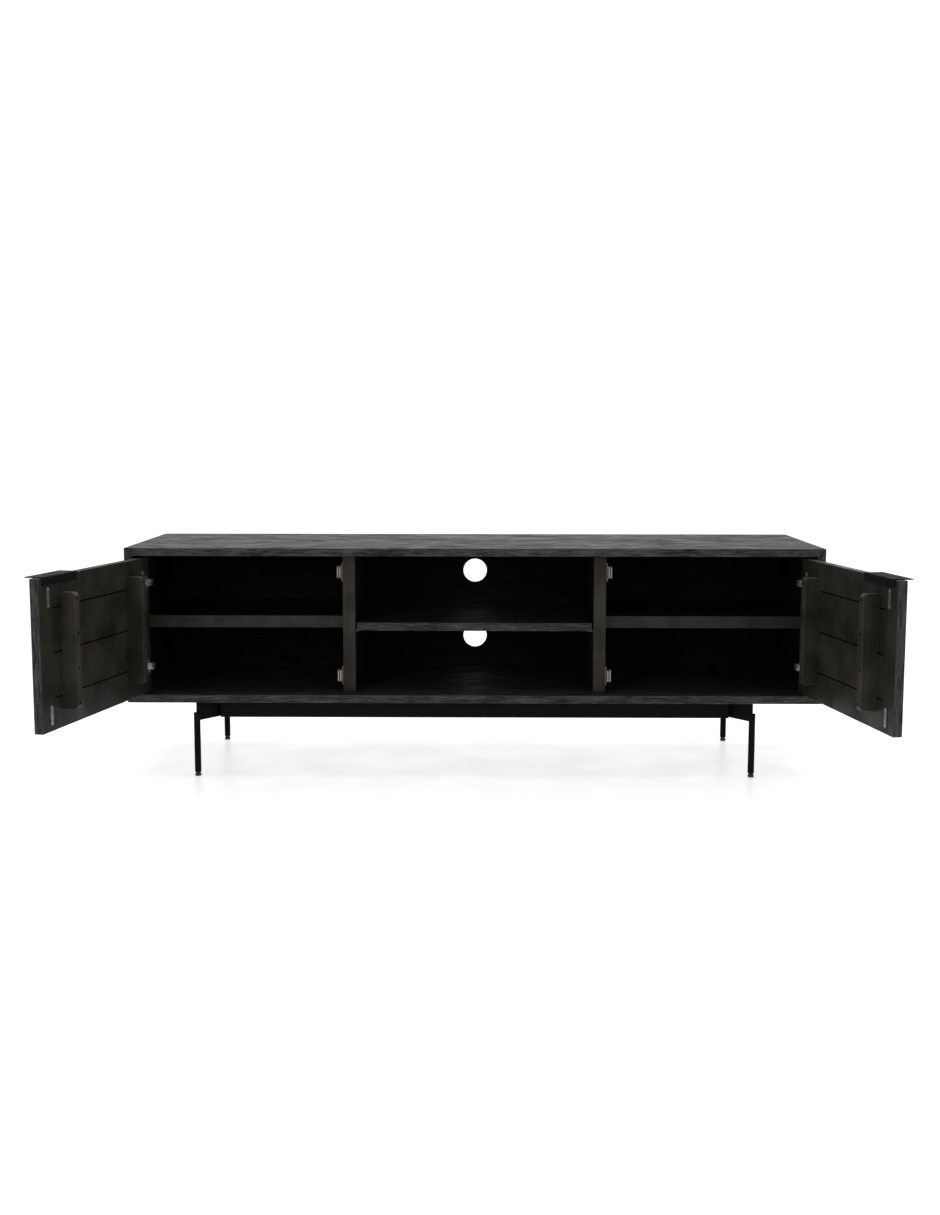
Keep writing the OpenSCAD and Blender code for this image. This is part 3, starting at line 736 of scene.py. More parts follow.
class Palette(Enum):
    """The cabinet's finishes, among them darker copies that paint shade."""

    CHARCOAL = StainedWood("charcoal_wood")
    # Painted shade: a darker copy of the charcoal wood for the faces inside the case, where shade falls.
    INNER = StainedWood("inner_wood", dark=(0.0014, 0.0014, 0.0015), light=(0.013, 0.0125, 0.0128),
                        rubbed=(0.015, 0.0145, 0.014), smooth=0.5, rough=0.7, gloss=0.08, relief=0.5,
                        dust=0.008)
    # Painted shade: a milder dark copy of the charcoal wood for the bottom's upper face and the middle
    # shelf's faces, inside the case.
    SHELTERED = StainedWood("charcoal_wood", dark=(0.0018, 0.0018, 0.0019), light=(0.034, 0.0335, 0.034),
                            rubbed=(0.04, 0.039, 0.037), smooth=0.42, rough=0.78, gloss=0.12, dust=0.015)
    OLIVE = SprayedLacquer("olive_paint")
    OLIVE_EDGE = SprayedLacquer("olive_paint", shade=(0.015, 0.0134, 0.0099), pale=(0.040, 0.0363, 0.0282))
    # Painted shade: a near-black copy of the wood for the door's grooves and holes, where shade falls.
    GROOVE = StainedWood("olive_paint", dark=(0.0006, 0.0005, 0.0005), light=(0.0025, 0.002, 0.0018),
                         gloss=0.02, relief=0.3, dust=0.0)
    BLACK_STEEL = PowderCoat("black_steel")
    NICKEL = PlatedMetal("nickel_steel")
    # Painted shade: a darker copy of the nickel for the strike plates, standing in for the dark surroundings
    # they reflect.
    RUBBED_NICKEL = PlatedMetal("nickel_steel", shade=(0.13, 0.127, 0.117), pale=(0.29, 0.284, 0.27),
                                smooth=0.36, rough=0.54)
    ZINC = PlatedMetal("zinc_screws", shade=(0.34, 0.34, 0.335), pale=(0.56, 0.56, 0.55), smooth=0.28,
                       rough=0.46)
    CATCH_BROWN = MouldedPlastic("catch_copper")
    NYLON = MouldedPlastic("foot_plastic", shade=(0.010, 0.010, 0.010), pale=(0.020, 0.020, 0.020),
                           smooth=0.4, rough=0.56)
    BLACK_ZINC = PlatedMetal("foot_plastic", shade=(0.012, 0.012, 0.013), pale=(0.035, 0.035, 0.037),
                             smooth=0.36, rough=0.55)
    FERRITE = MouldedPlastic("magnet", shade=(0.03, 0.03, 0.031), pale=(0.075, 0.074, 0.072), smooth=0.5,
                             rough=0.7)
    BEECH = PaleTimber("beech")

    @classmethod
    def for_slot(cls, slot: str) -> "Palette":
        """The finish that a record slot names.

        Args:
            slot: the record's material slot.

        Returns:
            The finish.
        """
        return next(finish for finish in cls if finish.value.slot == slot)


# ---------- places ----------


@dataclass(frozen=True)
class Place:
    """A body's name and the turn that brings its parts from rest to their own frame."""

    body: str
    to_own: Matrix = field(default_factory=lambda: Matrix.Identity(4))

    @classmethod
    def of_body(cls, body: str) -> "Place":
        """A door's own frame is the door closed; every other body's is where it stands.

        Args:
            body: the body's name in the frame.

        Returns:
            The body's place.
        """
        for joint in frame["joints"]:
            if joint["child"] == body and joint["type"] == "hinge":
                pivot = Matrix.Translation(Vector(joint["pos_m"]))
                shut = Matrix.Rotation(math.radians(joint["range_deg"][1]), 4, Vector(joint["axis"]))
                return cls(body, pivot @ shut @ pivot.inverted())
        return cls(body)

    @classmethod
    def of_node(cls, node: str) -> "Place":
        """The place of the body that a node belongs to."""
        return cls.of_body(frame["nodes"][node]["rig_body"])


def slot_of(node: str) -> str:
    """The record's material slot of a node."""
    return frame["nodes"][node].data.materials[0].name.split(".")[0]


# ---------- mesh work ----------


def solid_of(node: str, place: Place) -> bmesh.types.BMesh:
    """A node's solid in its own frame, welded, with flat faces joined up.

    Args:
        node: the node's name.
        place: the node's body and frame.

    Returns:
        A new mesh, which the caller frees.
    """
    solid = bmesh.new()
    solid.from_mesh(frame["nodes"][node].data)
    solid.transform(place.to_own)
    bmesh.ops.remove_doubles(solid, verts=solid.verts, dist=WELD)
    bmesh.ops.dissolve_limit(solid, angle_limit=FLAT_ANGLE, verts=solid.verts, edges=solid.edges,
                             use_dissolve_boundaries=False)
    bmesh.ops.recalc_face_normals(solid, faces=solid.faces)
    return solid


def box_of(solid: bmesh.types.BMesh) -> tuple[Vector, Vector]:
    """The lowest and highest corner of a mesh."""
    points = [v.co for v in solid.verts]
    return (Vector([min(p[i] for p in points) for i in range(3)]),
            Vector([max(p[i] for p in points) for i in range(3)]))


def connected(items: Iterable[object], neighbours: Callable[[object], Iterable[object]]) -> list[list]:
    """Sorts items into groups that hang together, in order of their first item.

    Args:
        items: the items to group.
        neighbours: gives the items that touch one.

    Returns:
        One list for each group.
    """
    ordered = list(items)
    left, groups = set(ordered), []
    for start in ordered:
        if start not in left:
            continue
        left.discard(start)
        group, waiting = [start], [start]
        while waiting:
            for item in neighbours(waiting.pop()):
                if item in left:
                    left.discard(item)
                    group.append(item)
                    waiting.append(item)
        groups.append(group)
    return groups


def islands(solid: bmesh.types.BMesh) -> list[list[bmesh.types.BMVert]]:
    """The separate shells of a mesh, as lists of vertices."""
    return connected(solid.verts, lambda vertex: (v for e in vertex.link_edges for v in e.verts))


def corner_edges(solid: bmesh.types.BMesh) -> list[bmesh.types.BMEdge]:
    """The outward corners of a mesh, those sharper than CORNER_ANGLE."""
    return [e for e in solid.edges if len(e.link_faces) == 2 and e.is_convex
            and e.calc_face_angle(0.0) > CORNER_ANGLE]


def long_chains(edges: Iterable[bmesh.types.BMEdge], shortest: float) -> list[bmesh.types.BMEdge]:
    """The edges that hang together in chains of at least a given length.

    Args:
        edges: the edges to choose from.
        shortest: the least total length of a chain, in metres.

    Returns:
        The edges of the chains that are long enough.
    """
    chains = connected(edges, lambda edge: (e for v in edge.verts for e in v.link_edges))
    return [e for chain in chains if sum(e.calc_length() for e in chain) >= shortest for e in chain]


def ease(solid: bmesh.types.BMesh, edges: list[bmesh.types.BMEdge], radius: float, steps: int) -> None:
    """Rounds the given edges.

    Args:
        solid: the mesh.
        edges: the edges to round.
        radius: how far from each edge the rounding starts, in metres.
        steps: the number of faces round each edge.
    """
    if edges:
        bmesh.ops.bevel(solid, geom=edges, offset=radius, offset_type="OFFSET", segments=steps,
                        profile=0.5, affect="EDGES", clamp_overlap=True, loop_slide=True)


def finish_piece(solid: bmesh.types.BMesh, name: str, place: Place, slot: str,
                 materials: list[bpy.types.Material], nodes: tuple[str, ...]) -> bpy.types.Object:
    """Turns a mesh in its own frame into a piece on its body.

    Args:
        solid: the mesh, which is freed.
        name: the piece's name.
        place: the body and frame.
        slot: the record's material slot; not used.
        materials: the materials, by face index.
        nodes: the nodes that the piece stands for.

    Returns:
        The new object.
    """
    for edge in solid.edges:
        edge.smooth = len(edge.link_faces) == 2 and edge.calc_face_angle(0.0) < SHARP_ANGLE
    for face in solid.faces:
        face.smooth = True
    mesh = bpy.data.meshes.new(name)
    solid.to_mesh(mesh)
    solid.free()
    for material in materials:
        mesh.materials.append(material)
    piece = bpy.data.objects.new(name, mesh)
    bpy.context.scene.collection.objects.link(piece)
    piece.matrix_world = place.to_own.inverted()
    weighted = piece.modifiers.new("even_shading", "WEIGHTED_NORMAL")
    weighted.keep_sharp = True
    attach(piece, place.body)
    if nodes:
        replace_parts(piece, *nodes)
    return piece


# ---------- sub-assemblies ----------


@dataclass
class EasedPart:
    """One node as a maker would leave it: the same solid with its arrises eased."""

    node: str
    radius: float = 0.8 * MM
    steps: int = 3
    grain: Axis = Axis.X
    finish: Palette | None = None
    boxed: bool = True
    shortest_chain: float = 40 * MM
    keep_sharp: EdgeTest | None = None
    coats: tuple[tuple[Palette, Axis, FaceTest], ...] = ()
    seed: float = 0.0

    def build(self) -> bpy.types.Object:
        """Builds, dresses and places the part.

        Returns:
            The piece.
        """
        place = Place.of_node(self.node)
        solid = solid_of(self.node, place)
        low, high = box_of(solid)
        ease(solid, self._edges(solid, low, high), self.radius, self.steps)
        finishes = [(self.finish or Palette.for_slot(slot_of(self.node)), self.grain)]
        solid.normal_update()
        for finish, grain, test in self.coats:
            self._paint(solid, test, len(finishes))
            finishes.append((finish, grain))
        materials = [f.value.material(f"{self.node}_{f.value.slot}_{g.name.lower()}",
                                      Stock(low, high, g, self.seed)) for f, g in finishes]
        return finish_piece(solid, f"{self.node}_eased", place, slot_of(self.node), materials, (self.node,))

    def _edges(self, solid: bmesh.types.BMesh, low: Vector, high: Vector) -> list[bmesh.types.BMEdge]:
        """The edges to ease: the box's own arrises, or every long chain of corners."""
        edges = corner_edges(solid)
        if self.boxed:
            edges = [e for e in edges if self._on_box(e, low, high)]
        else:
            edges = long_chains(edges, self.shortest_chain)
        if self.keep_sharp:
            edges = [e for e in edges if not self.keep_sharp(e.verts[0].co, e.verts[1].co)]
        return edges

    @staticmethod
    def _on_box(edge: bmesh.types.BMEdge, low: Vector, high: Vector) -> bool:
        """Whether an edge lies along one of the box's twelve arrises."""
        ends = [v.co for v in edge.verts]
        shared = sum(all(abs(p[i] - limit[i]) < TOUCH for p in ends) for i in range(3)
                     for limit in (low, high))
        return shared >= 2

    @staticmethod
    def _paint(solid: bmesh.types.BMesh, test: FaceTest, index: int) -> None:
        """Gives the faces that pass a test another material."""
        for face in solid.faces:
            if test(face.calc_center_median(), face.normal):
                face.material_index = index


def faces_front(_: Vector, normal: Vector) -> bool:
    """Whether a face looks to the front."""
    return normal.y < -FACING


def faces_sideways(_: Vector, normal: Vector) -> bool:
    """Whether a face looks along X."""
    return abs(normal.x) > 0.6


def faces_inwards(side: Side) -> FaceTest:
    """A test for the faces of a side board that look to the cabinet's middle."""
    return lambda _, normal: normal.x * side.value < -FACING


@dataclass
class Carcass:
    """Mitred case, back panel, dividers and shelves."""

    arris: float = 0.9 * MM
    shelf_arris: float = 1.4 * MM
    hole_rim: float = 1.0 * MM

    def build(self) -> list[bpy.types.Object]:
        """Builds every board.

        Returns:
            The pieces.
        """
        # Painted shade: the faces inside the case (the top's underside, the sides' inner faces, the dividers
        # and the shelves but for their olive fronts) get the darker inner copy of the wood.
        parts = [EasedPart("top_panel", self.arris, seed=1.0,
                           coats=((Palette.INNER, Axis.X, lambda _, normal: normal.z < -FACING),)),
                 # Painted shade: the bottom's upper face gets the milder dark copy of the wood.
                 EasedPart("bottom_panel", self.arris, seed=2.0,
                           coats=((Palette.SHELTERED, Axis.X, lambda _, normal: normal.z > FACING),))]
        for i, side in enumerate(Side):
            parts.append(EasedPart(f"{side.word}_side_panel", self.arris, grain=Axis.Z, seed=3.0 + i,
                                   coats=((Palette.INNER, Axis.Z, faces_inwards(side)),)))
            parts.append(EasedPart(f"{side.word}_divider", self.shelf_arris, grain=Axis.Y,
                                   finish=Palette.INNER, seed=5.0 + i,
                                   coats=((Palette.OLIVE_EDGE, Axis.Z, faces_front),)))
            parts.append(EasedPart(f"{side.word}_shelf", self.shelf_arris, finish=Palette.INNER,
                                   seed=7.0 + i, coats=((Palette.OLIVE_EDGE, Axis.X, faces_front),)))
        # Painted shade: the middle shelf's top and bottom faces get the same milder dark copy.
        parts.append(EasedPart("middle_shelf", self.arris, seed=9.0,
                               coats=((Palette.SHELTERED, Axis.X,
                                       lambda _, normal: abs(normal.z) > 0.8),)))
        low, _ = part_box("back_panel")
        parts.append(EasedPart("back_panel", self.hole_rim, boxed=False, shortest_chain=0.12, seed=10.0,
                               keep_sharp=lambda a, b: min(abs(a.x), abs(b.x)) > abs(low.x) / 2))
        return [part.build() for part in parts]


@dataclass
class Door:
    """One door with its battens, handle, strikes and hinge cups."""

    side: Side
    panel_arris: float = 0.8 * MM
    batten_round: float = 2.2 * MM
    handle_bend: float = 1.8 * MM
    plate_arris: float = 0.3 * MM
    rim: float = 1.5 * MM

    def build(self) -> list[bpy.types.Object]:
        """Builds the door's pieces.

        Returns:
            The pieces.
        """
        word, seed = self.side.word, 20.0 + self.side.value
        own = Place.of_body(f"{word}_door")
        panel = solid_of(f"{word}_door_panel", own)
        low, high = box_of(panel)
        panel.free()

        def inside(centre: Vector, normal: Vector) -> bool:
            """Whether a face is on the door's inner side."""
            return normal.y > FACING and centre.y > high.y - self.rim / 2

        def sunk(centre: Vector, normal: Vector) -> bool:
            """Whether a face is inside a groove or a hole."""
            clear = all(low[i] + self.rim < centre[i] < high[i] - self.rim for i in (0, 2))
            return clear and centre.y < high.y - TOUCH and centre.y > low.y + TOUCH

        parts = [
            # Painted shade: the faces inside the grooves and holes get the near-black copy in place of the
            # shade in them.
            EasedPart(f"{word}_door_panel", self.panel_arris, finish=Palette.CHARCOAL, seed=seed,
                      coats=((Palette.CHARCOAL, Axis.Z, faces_sideways),
                             (Palette.OLIVE, Axis.Z, inside), (Palette.GROOVE, Axis.X, sunk))),
            EasedPart(f"{word}_door_battens", self.batten_round, steps=4, grain=Axis.Z, boxed=False,
                      finish=Palette.OLIVE_EDGE, shortest_chain=0.1, seed=seed + 2.0,
                      keep_sharp=lambda a, b: max(a.y, b.y) < high.y + TOUCH),
            # Painted shade: the strike plates get the darker copy of the nickel.
            EasedPart(f"{word}_strike_plates", self.plate_arris, steps=2, boxed=False,
                      finish=Palette.RUBBED_NICKEL),
            EasedPart(f"{word}_hinge_cups", self.plate_arris, steps=2, boxed=False),
        ]
        return [part.build() for part in parts] + [self._handle(own, high)]

    def _handle(self, own: Place, door_high: Vector) -> bpy.types.Object:
        """The bent plate: its outer bend rounded first, then every arris broken."""
        node = f"{self.side.word}_handle"
        solid = solid_of(node, own)
        low, high = box_of(solid)
        bend = [e for e in corner_edges(solid)
                if all(abs(v.co.y - high.y) < TOUCH and abs(v.co.z - high.z) < TOUCH for v in e.verts)]
        ease(solid, bend, self.handle_bend, 5)
        edges = long_chains(corner_edges(solid), 40 * MM)
        ease(solid, [e for e in edges if not self._touches_door(e, door_high)], self.plate_arris, 2)
        material = Palette.BLACK_STEEL.value.material(node, Stock(low, high))
        return finish_piece(solid, f"{node}_bent", own, slot_of(node), [material], (node,))

    @staticmethod
    def _touches_door(edge: bmesh.types.BMEdge, door_high: Vector) -> bool:
        """Whether an edge lies on the door's inner face or its top edge."""
        return all(v.co.y < door_high.y + TOUCH and v.co.z < door_high.z + TOUCH for v in edge.verts)


@dataclass
class Fittings:
    """Catches and the cabinet side of the hinges."""

    arris: float = 0.35 * MM

    def build(self) -> list[bpy.types.Object]:
        """Builds the fittings.

        Returns:
            The pieces.
        """
        nodes = ("catch_housings", "catch_pole_plates", "hinge_mounting_plates", "hinge_arms")
        return [EasedPart(node, self.arris, steps=2, boxed=False, shortest_chain=20 * MM).build()
                for node in nodes]


@dataclass
class Base:
    """Steel base: rails, end plates, wings, pads, tabs, cross bars and legs."""

    tube_round: float = 2.0 * MM
    plate_arris: float = 0.5 * MM

    def build(self) -> list[bpy.types.Object]:
        """Builds the base.

        Returns:
            The pieces.
        """
        parts = [EasedPart(node, self.tube_round, steps=4, keep_sharp=self._across_tube)
                 for node in ("front_rail", "rear_rail")]
        parts += [EasedPart(node, self.plate_arris, steps=2, boxed=False)
                  for node in ("rail_end_plates", "corner_wings", "corner_pads", "mounting_tabs",
                               "cross_bars", "front_left_leg", "front_right_leg", "rear_left_leg",
                               "rear_right_leg")]
        return [part.build() for part in parts]

    @staticmethod
    def _across_tube(a: Vector, b: Vector) -> bool:
        """Whether an edge runs round a rail's open end."""
        return abs(a.x - b.x) < TOUCH


@dataclass
class Screws:
    """A set of screws in place of the plain ones of one node."""

    node: str
    axis: Axis
    points: int = 40
    recess: float = 0.55
    slot_width: float = 0.2

    def build(self) -> list[bpy.types.Object]:
        """Builds the set as one piece.

        Returns:
            The piece, in a list.
        """
        place = Place.of_node(self.node)
        plain = solid_of(self.node, place)
        low, high = box_of(plain)
        made = bmesh.new()
        template: bpy.types.Mesh | None = None
        for i, shell in enumerate(islands(plain)):
            sizes = self._measure(shell)
            if template is None:
                template = self._template(*sizes[2:])
            copy = bmesh.new()
            copy.from_mesh(template)
            turn = Matrix.Rotation(GOLDEN_ANGLE * i, 4, "Z")
            copy.transform(Matrix.Translation(sizes[0]) @ self._aim(sizes[1]) @ turn)
            scratch = bpy.data.meshes.new("scratch")
            copy.to_mesh(scratch)
            copy.free()
            made.from_mesh(scratch)
            bpy.data.meshes.remove(scratch)
        plain.free()
        slot = slot_of(self.node)
        material = Palette.for_slot(slot).value.material(self.node, Stock(low, high))
        return [finish_piece(made, f"{self.node}_driven", place, slot, [material], (self.node,))]

    def _measure(self, shell: list[bmesh.types.BMVert]) -> tuple[Vector, float, float, float, float, float]:
        """One plain screw's place and sizes.

        Args:
            shell: the vertices of one screw.

        Returns:
            The middle of the head's top, the head's direction along the axis, the head's radius
            and height, the shank's radius, and the length under the head.
        """
        k = self.axis.value
        others = [i for i in range(3) if i != k]
        centre = Vector([(min(v.co[i] for v in shell) + max(v.co[i] for v in shell)) / 2 for i in range(3)])

        def reach(vertex: bmesh.types.BMVert) -> float:
            """How far a vertex is from the screw's axis."""
            return math.hypot(*(vertex.co[i] - centre[i] for i in others))

        head_radius = max(reach(v) for v in shell)
        along = [v.co[k] for v in shell if reach(v) > head_radius * 0.98]
        ends = min(v.co[k] for v in shell), max(v.co[k] for v in shell)
        up = 1.0 if ends[1] - max(along) < min(along) - ends[0] else -1.0
        top = ends[1] if up > 0 else ends[0]
        head_height = max(along) - min(along)
        shank = max(reach(v) for v in shell if abs(v.co[k] - (ends[0] if up > 0 else ends[1])) < TOUCH)
        centre[k] = top
        return centre, up, head_radius, head_height, shank, ends[1] - ends[0] - head_height

    def _aim(self, up: float) -> Matrix:
        """The turn that points a screw's head along the axis."""
        return (self.axis.vector * up).to_track_quat("Z", "Y").to_matrix().to_4x4()

    def _template(self, radius: float, height: float, shank: float, length: float) -> bpy.types.Mesh:
        """One screw with its head's top at the origin, pointing up, with a cross recess.

        Args:
            radius: the head's radius.
            height: the head's height.
            shank: the shank's radius.
            length: the shank's length.

        Returns:
            A mesh.
        """
        edge = min(0.35 * height, 0.25 * radius)
        profile = [(0.0, -height - length), (0.55 * shank, -height - length),
                   (shank, -height - length + 0.9 * shank), (shank, -height), (radius - 0.3 * edge, -height),
                   (radius, -height + 0.5 * edge), (radius, -edge * 1.2)]
        crown = 0.12 * height
        profile += [(radius - edge * (1 - math.cos(math.radians(a))),
                     -edge * 1.2 + (edge * 1.2 - crown) * math.sin(math.radians(a))) for a in (30, 60, 90)]
        profile += [(0.5 * (radius - edge), -0.3 * crown), (0.0, 0.0)]
        body = lathe(profile, self.points)
        cutter = bmesh.new()
        arm, wide, deep = radius * self.recess, radius * self.slot_width, min(0.75 * height, 1.6 * MM)
        for angle in (0.0, math.pi / 2):
            tapered_bar(cutter, arm, wide / 2, deep, angle)
        return carve(body, cutter)


def ring_at(solid: bmesh.types.BMesh, radii: list[float], height: float) -> list[bmesh.types.BMVert]:
    """A ring of vertices about Z, one for each radius."""
    turns = [math.tau * i / len(radii) for i in range(len(radii))]
    return [solid.verts.new((r * math.cos(a), r * math.sin(a), height)) for r, a in zip(radii, turns)]


def skin(solid: bmesh.types.BMesh, rings: list[list[bmesh.types.BMVert]]) -> list[bmesh.types.BMFace]:
    """Joins each ring to the next, with triangles where a ring is a single vertex.

    Args:
        solid: the mesh.
        rings: the rings, in order.

    Returns:
        The new faces.
    """
    points, faces = max(len(ring) for ring in rings), []
    for lower, upper in zip(rings, rings[1:]):
        for i in range(points):
            j = (i + 1) % points
            corners = [lower[i % len(lower)], lower[j % len(lower)], upper[j % len(upper)],
                       upper[i % len(upper)]]
            faces.append(solid.faces.new(list(dict.fromkeys(corners))))
    return faces


def lathe(profile: list[tuple[float, float]], points: int) -> bmesh.types.BMesh:
    """A closed turned shape about Z.

    Args:
        profile: radius and height pairs from the bottom to the top, on the axis at both ends.
        points: vertices in each ring.

    Returns:
        A new mesh.
    """
    solid = bmesh.new()
    skin(solid, [ring_at(solid, [radius] * (points if radius else 1), height)
                 for radius, height in profile])
    bmesh.ops.recalc_face_normals(solid, faces=solid.faces)
    return solid


def tapered_bar(solid: bmesh.types.BMesh, half_length: float, half_width: float, depth: float,
                angle: float) -> None:
    """Adds one bar of a cross-shaped cutter, narrower at its foot.

    Args:
        solid: the cutter's mesh.
        half_length: half the bar's length at the top.
        half_width: half the bar's width.
        depth: how deep it reaches below the origin.
        angle: its turn about Z.
    """
    above = 0.5 * MM
    turn = Matrix.Rotation(angle, 3, "Z")
    corners = []
    for z, share in ((-depth, 0.45), (above, 1.1)):
        for sx, sy in ((-1, -1), (1, -1), (1, 1), (-1, 1)):
            width = half_width * (0.8 if z < 0 else 1.05)
            corners.append(solid.verts.new(turn @ Vector((sx * half_length * share, sy * width, z))))
    for quad in ((3, 2, 1, 0), (4, 5, 6, 7), (0, 1, 5, 4), (1, 2, 6, 5), (2, 3, 7, 6), (3, 0, 4, 7)):
        solid.faces.new([corners[i] for i in quad])


def carve(body: bmesh.types.BMesh, cutter: bmesh.types.BMesh) -> bpy.types.Mesh:
    """Cuts one mesh out of another.

    Args:
        body: the mesh to cut, which is freed.
        cutter: the mesh to take away, which is freed.

    Returns:
        The resulting mesh.
    """
    objects = []
    for solid, name in ((body, "carve_body"), (cutter, "carve_cutter")):
        mesh = bpy.data.meshes.new(name)
        solid.to_mesh(mesh)
        solid.free()
        objects.append(bpy.data.objects.new(name, mesh))
        bpy.context.scene.collection.objects.link(objects[-1])
    cut = objects[0].modifiers.new("cut", "BOOLEAN")
    cut.operation, cut.solver, cut.object, cut.use_self = "DIFFERENCE", "EXACT", objects[1], True
    graph = bpy.context.evaluated_depsgraph_get()
    made = bpy.data.meshes.new_from_object(objects[0].evaluated_get(graph))
    for used in objects:
        bpy.data.objects.remove(used)
    return made


@dataclass
class LevellingFoot:
    """A nylon-shod foot with a threaded stud."""

    node: str
    pitch: float = 1.25 * MM
    thread_depth: float = 0.62 * MM
    edge: float = 1.0 * MM
    points: int = 36

    def build(self) -> list[bpy.types.Object]:
        """Builds the foot.

        Returns:
            The piece, in a list.
        """
        place = Place.of_node(self.node)
        plain = solid_of(self.node, place)
        low, high = box_of(plain)
        centre = (low + high) / 2
        radii = self._radii(plain, centre)
        plain.free()
        solid = self._shoe(radii, low.z)
        self._stud(solid, radii[-1][0], radii[-1][1], high.z)
        solid.transform(Matrix.Translation((centre.x, centre.y, 0.0)))
        nylon = Palette.NYLON.value.material(f"{self.node}_nylon", Stock(low, high))
        zinc = Palette.BLACK_ZINC.value.material(f"{self.node}_zinc", Stock(low, high))
        return [finish_piece(solid, f"{self.node}_threaded", place, slot_of(self.node), [nylon, zinc],
                             (self.node,))]

    @staticmethod
    def _radii(plain: bmesh.types.BMesh, centre: Vector) -> list[tuple[float, float]]:
        """The foot's steps.

        Args:
            plain: the plain foot.
            centre: the middle of its box.

        Returns:
            The radius of each step and the height where it starts, from the bottom up.
        """
        steps: dict[float, tuple[float, float]] = {}
        for vertex in plain.verts:
            radius = math.hypot(vertex.co.x - centre.x, vertex.co.y - centre.y)
            key = round(radius, 4)
            if key > MM:
                lowest, _ = steps.get(key, (vertex.co.z, 0.0))
                steps[key] = (min(lowest, vertex.co.z), radius)
        return [(radius, start) for start, radius in sorted(steps.values(), key=lambda s: (s[0], -s[1]))]

    def _shoe(self, radii: list[tuple[float, float]], floor: float) -> bmesh.types.BMesh:
        """The nylon disc and the collar over it."""
        (wide, _), (collar, collar_z), (_, stud_z) = radii[:3]
        curve = [(math.sin(math.radians(a)), math.cos(math.radians(a))) for a in (0, 30, 60, 90)]
        rim, lip = wide - self.edge, 0.4 * MM
        profile = [(0.0, floor)]
        profile += [(rim + self.edge * s, floor + self.edge - self.edge * c) for s, c in curve]
        profile += [(rim + self.edge * c, collar_z - self.edge + self.edge * s) for s, c in curve]
        profile += [(collar, collar_z), (collar, stud_z - lip), (collar - lip, stud_z), (0.0, stud_z)]
        return lathe(profile, self.points)

    def _stud(self, solid: bmesh.types.BMesh, radius: float, start: float, top: float) -> None:
        """The thread, as a grid whose depth follows a helix."""
        stepping = self.pitch / 6
        rows = int((top - start) / stepping)
        rings = []
        for row in range(rows + 1):
            z = min(start + row * stepping, top)
            fade = min(1.0, (top - z) / self.pitch)
            phases = [(z / self.pitch - i / self.points) % 1.0 for i in range(self.points)]
            rings.append(ring_at(solid, [radius - self.thread_depth * (abs(2 * p - 1) * fade + 1 - fade)
                                         for p in phases], z))
        faces = skin(solid, rings)
        faces.append(solid.faces.new(rings[-1]))
        faces.append(solid.faces.new(list(reversed(rings[0]))))
        for face in faces:
            face.material_index = 1


@dataclass
class CarriedOver:
    """The nodes whose shape is right as it is: they only get their finish."""

    def dress(self, replaced: set[str]) -> list[bpy.types.Object]:
        """Dresses every node that no piece stands for.

        Args:
            replaced: the nodes that pieces stand for.

        Returns:
            The nodes' objects.
        """
        dressed = []
        for node, piece in frame["nodes"].items():
            if node in replaced:
                continue
            low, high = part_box(node)
            slot = slot_of(node)
            grain = Axis.Z if "dowel" in node else Axis.Y
            piece.material_slots[0].material = Palette.for_slot(slot).value.material(
                f"{node}_{slot}", Stock(low, high, grain))
            dressed.append(piece)
        return dressed


# ---------- studio ----------


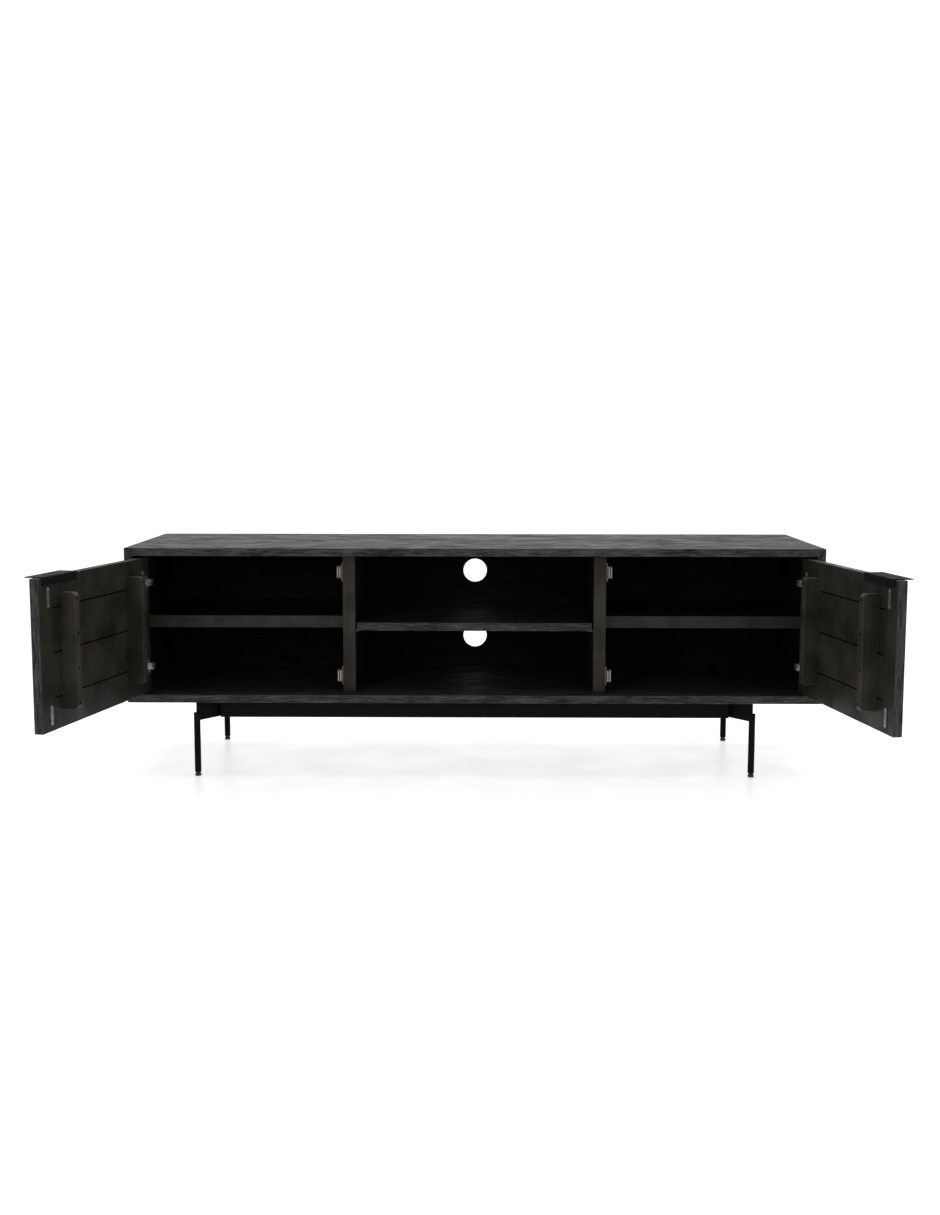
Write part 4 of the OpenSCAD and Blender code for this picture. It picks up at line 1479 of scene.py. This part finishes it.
@dataclass
class Studio:
    """Pale, partly self-lit floor that curves up all round, soft lights, and the camera."""

    floor_radius: float = 5.5
    sweep_radius: float = 3.0
    wall_height: float = 5.0
    glow: float = 0.66
    paint: Colour = (0.42, 0.42, 0.423)
    sky: float = 0.35
    lens: float = 43.316
    eye: Colour = (0.01638, -3.54293, 0.81435)
    pitch: float = math.pi / 2 - 0.124
    yaw: float = 0.008
    roll: float = -0.001

    def build(self) -> None:
        """Builds the floor, the world, the lights and the camera."""
        self._floor()
        self._world()
        for side in Side:
            self._light(f"front_{side.word}", where=(side.value * 1.9, -3.7, 1.4),
                        towards=(side.value * 0.3, 0.0, 0.35), size=0.9, power=21.0 - 5.0 * side.value)
        self._light("overhead", where=(0.0, 0.5, 3.8), towards=(0.0, 0.1, 0.5), size=3.4, power=138.0)
        self._light("backdrop", where=(0.0, 3.2, 4.6), towards=(0.0, 8.0, 1.6), size=4.5, power=110.0)
        self._camera()

    def _floor(self) -> None:
        """A turned bowl, flat under the cabinet, whose own glow fades out in front."""
        flat_steps, sweep_steps, points = 8, 12, 96
        bowl = bmesh.new()
        profile = [(self.floor_radius * i / flat_steps, 0.0) for i in range(flat_steps + 1)]
        for i in range(1, sweep_steps + 1):
            a = math.pi / 2 * i / sweep_steps
            profile.append((self.floor_radius + self.sweep_radius * math.sin(a),
                            self.sweep_radius * (1 - math.cos(a))))
        profile.append((self.floor_radius + self.sweep_radius, self.wall_height))
        rings = [ring_at(bowl, [radius] * (points if radius else 1), height) for radius, height in profile]
        skin(bowl, rings[::-1])
        for face in bowl.faces:
            face.smooth = True
        mesh = bpy.data.meshes.new("studio_floor")
        bowl.to_mesh(mesh)
        bowl.free()
        material, surface = blank("studio_floor", Stock(Vector(), Vector()))
        graph, shader = surface.graph, surface.shader
        surface.paint((*self.paint, 1.0),
                      graph.ramp(graph.noise(surface.point, 6.0), 0.3, 0.7, 0.30, 0.42))
        shader["Specular IOR Level"].default_value = 0.35
        glow = graph.ramp(graph.split(surface.point)[1], -4.5, -2.0)
        graph.feed(graph.blend(glow, (0.0, 0.0, 0.0), (1.0, 1.0, 1.0)), shader["Emission Color"])
        shader["Emission Strength"].default_value = self.glow
        mesh.materials.append(material)
        floor = bpy.data.objects.new("studio_floor", mesh)
        bpy.context.scene.collection.objects.link(floor)

    def _world(self) -> None:
        """Even white light from all round."""
        world = bpy.data.worlds.new("studio")
        world.use_nodes = True
        graph = Graph(world.node_tree)
        sky = graph.add("ShaderNodeBackground")
        sky.inputs["Color"].default_value = (1.0, 1.0, 1.0, 1.0)
        sky.inputs["Strength"].default_value = self.sky
        graph.feed(sky.outputs[0], graph.add("ShaderNodeOutputWorld").inputs[0])
        bpy.context.scene.world = world
        bpy.context.scene.view_settings.view_transform = "Standard"

    @staticmethod
    def _light(name: str, where: Colour, towards: Colour, size: float, power: float) -> None:
        """Adds one soft light.

        Args:
            name: the light's name.
            where: its place.
            towards: the point that it faces.
            size: its side, in metres.
            power: its power in watts.
        """
        lamp = bpy.data.lights.new(name, "AREA")
        lamp.size, lamp.energy = size, power
        holder = bpy.data.objects.new(name, lamp)
        holder.location = where
        holder.rotation_euler = (Vector(towards) - Vector(where)).to_track_quat("-Z", "Y").to_euler()
        bpy.context.scene.collection.objects.link(holder)

    def _camera(self) -> None:
        """The camera at the height of a seated eye, a little above the top."""
        data = bpy.data.cameras.new("camera")
        data.lens, data.sensor_width, data.sensor_fit = self.lens, 36.0, "AUTO"
        camera = bpy.data.objects.new("camera", data)
        camera.location = self.eye
        camera.rotation_euler = (self.pitch, self.roll, self.yaw)
        bpy.context.scene.collection.objects.link(camera)
        bpy.context.scene.camera = camera


SCREW_SETS = {"back_panel_screws": Axis.Y, "catch_screws": Axis.X, "mounting_plate_screws": Axis.X,
              "arm_clamp_screws": Axis.X, "base_screws": Axis.Z}
DOOR_SCREWS = ("batten_screws", "handle_screws", "strike_screws", "cup_screws")


def main() -> None:
    """Builds the cabinet's looks in order and reports each piece."""
    logging.basicConfig(level=logging.INFO, format="%(name)s: %(message)s")
    Studio().build()
    sets = [Screws(node, axis) for node, axis in SCREW_SETS.items()]
    sets += [Screws(f"{side.word}_{node}", Axis.Y) for side in Side for node in DOOR_SCREWS]
    feet = [LevellingFoot(node) for node in frame["nodes"] if node.endswith("_foot")]
    assemblies = [Carcass(), *(Door(side) for side in Side), Fittings(), Base(), *sets, *feet]
    replaced: set[str] = set()
    for assembly in assemblies:
        for piece in assembly.build():
            replaced |= set(piece["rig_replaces"])
            LOG.info("%s: %s on %s", type(assembly).__name__, piece.name, piece["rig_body"])
    for piece in CarriedOver().dress(replaced):
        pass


if __name__ == "__main__":
    main()
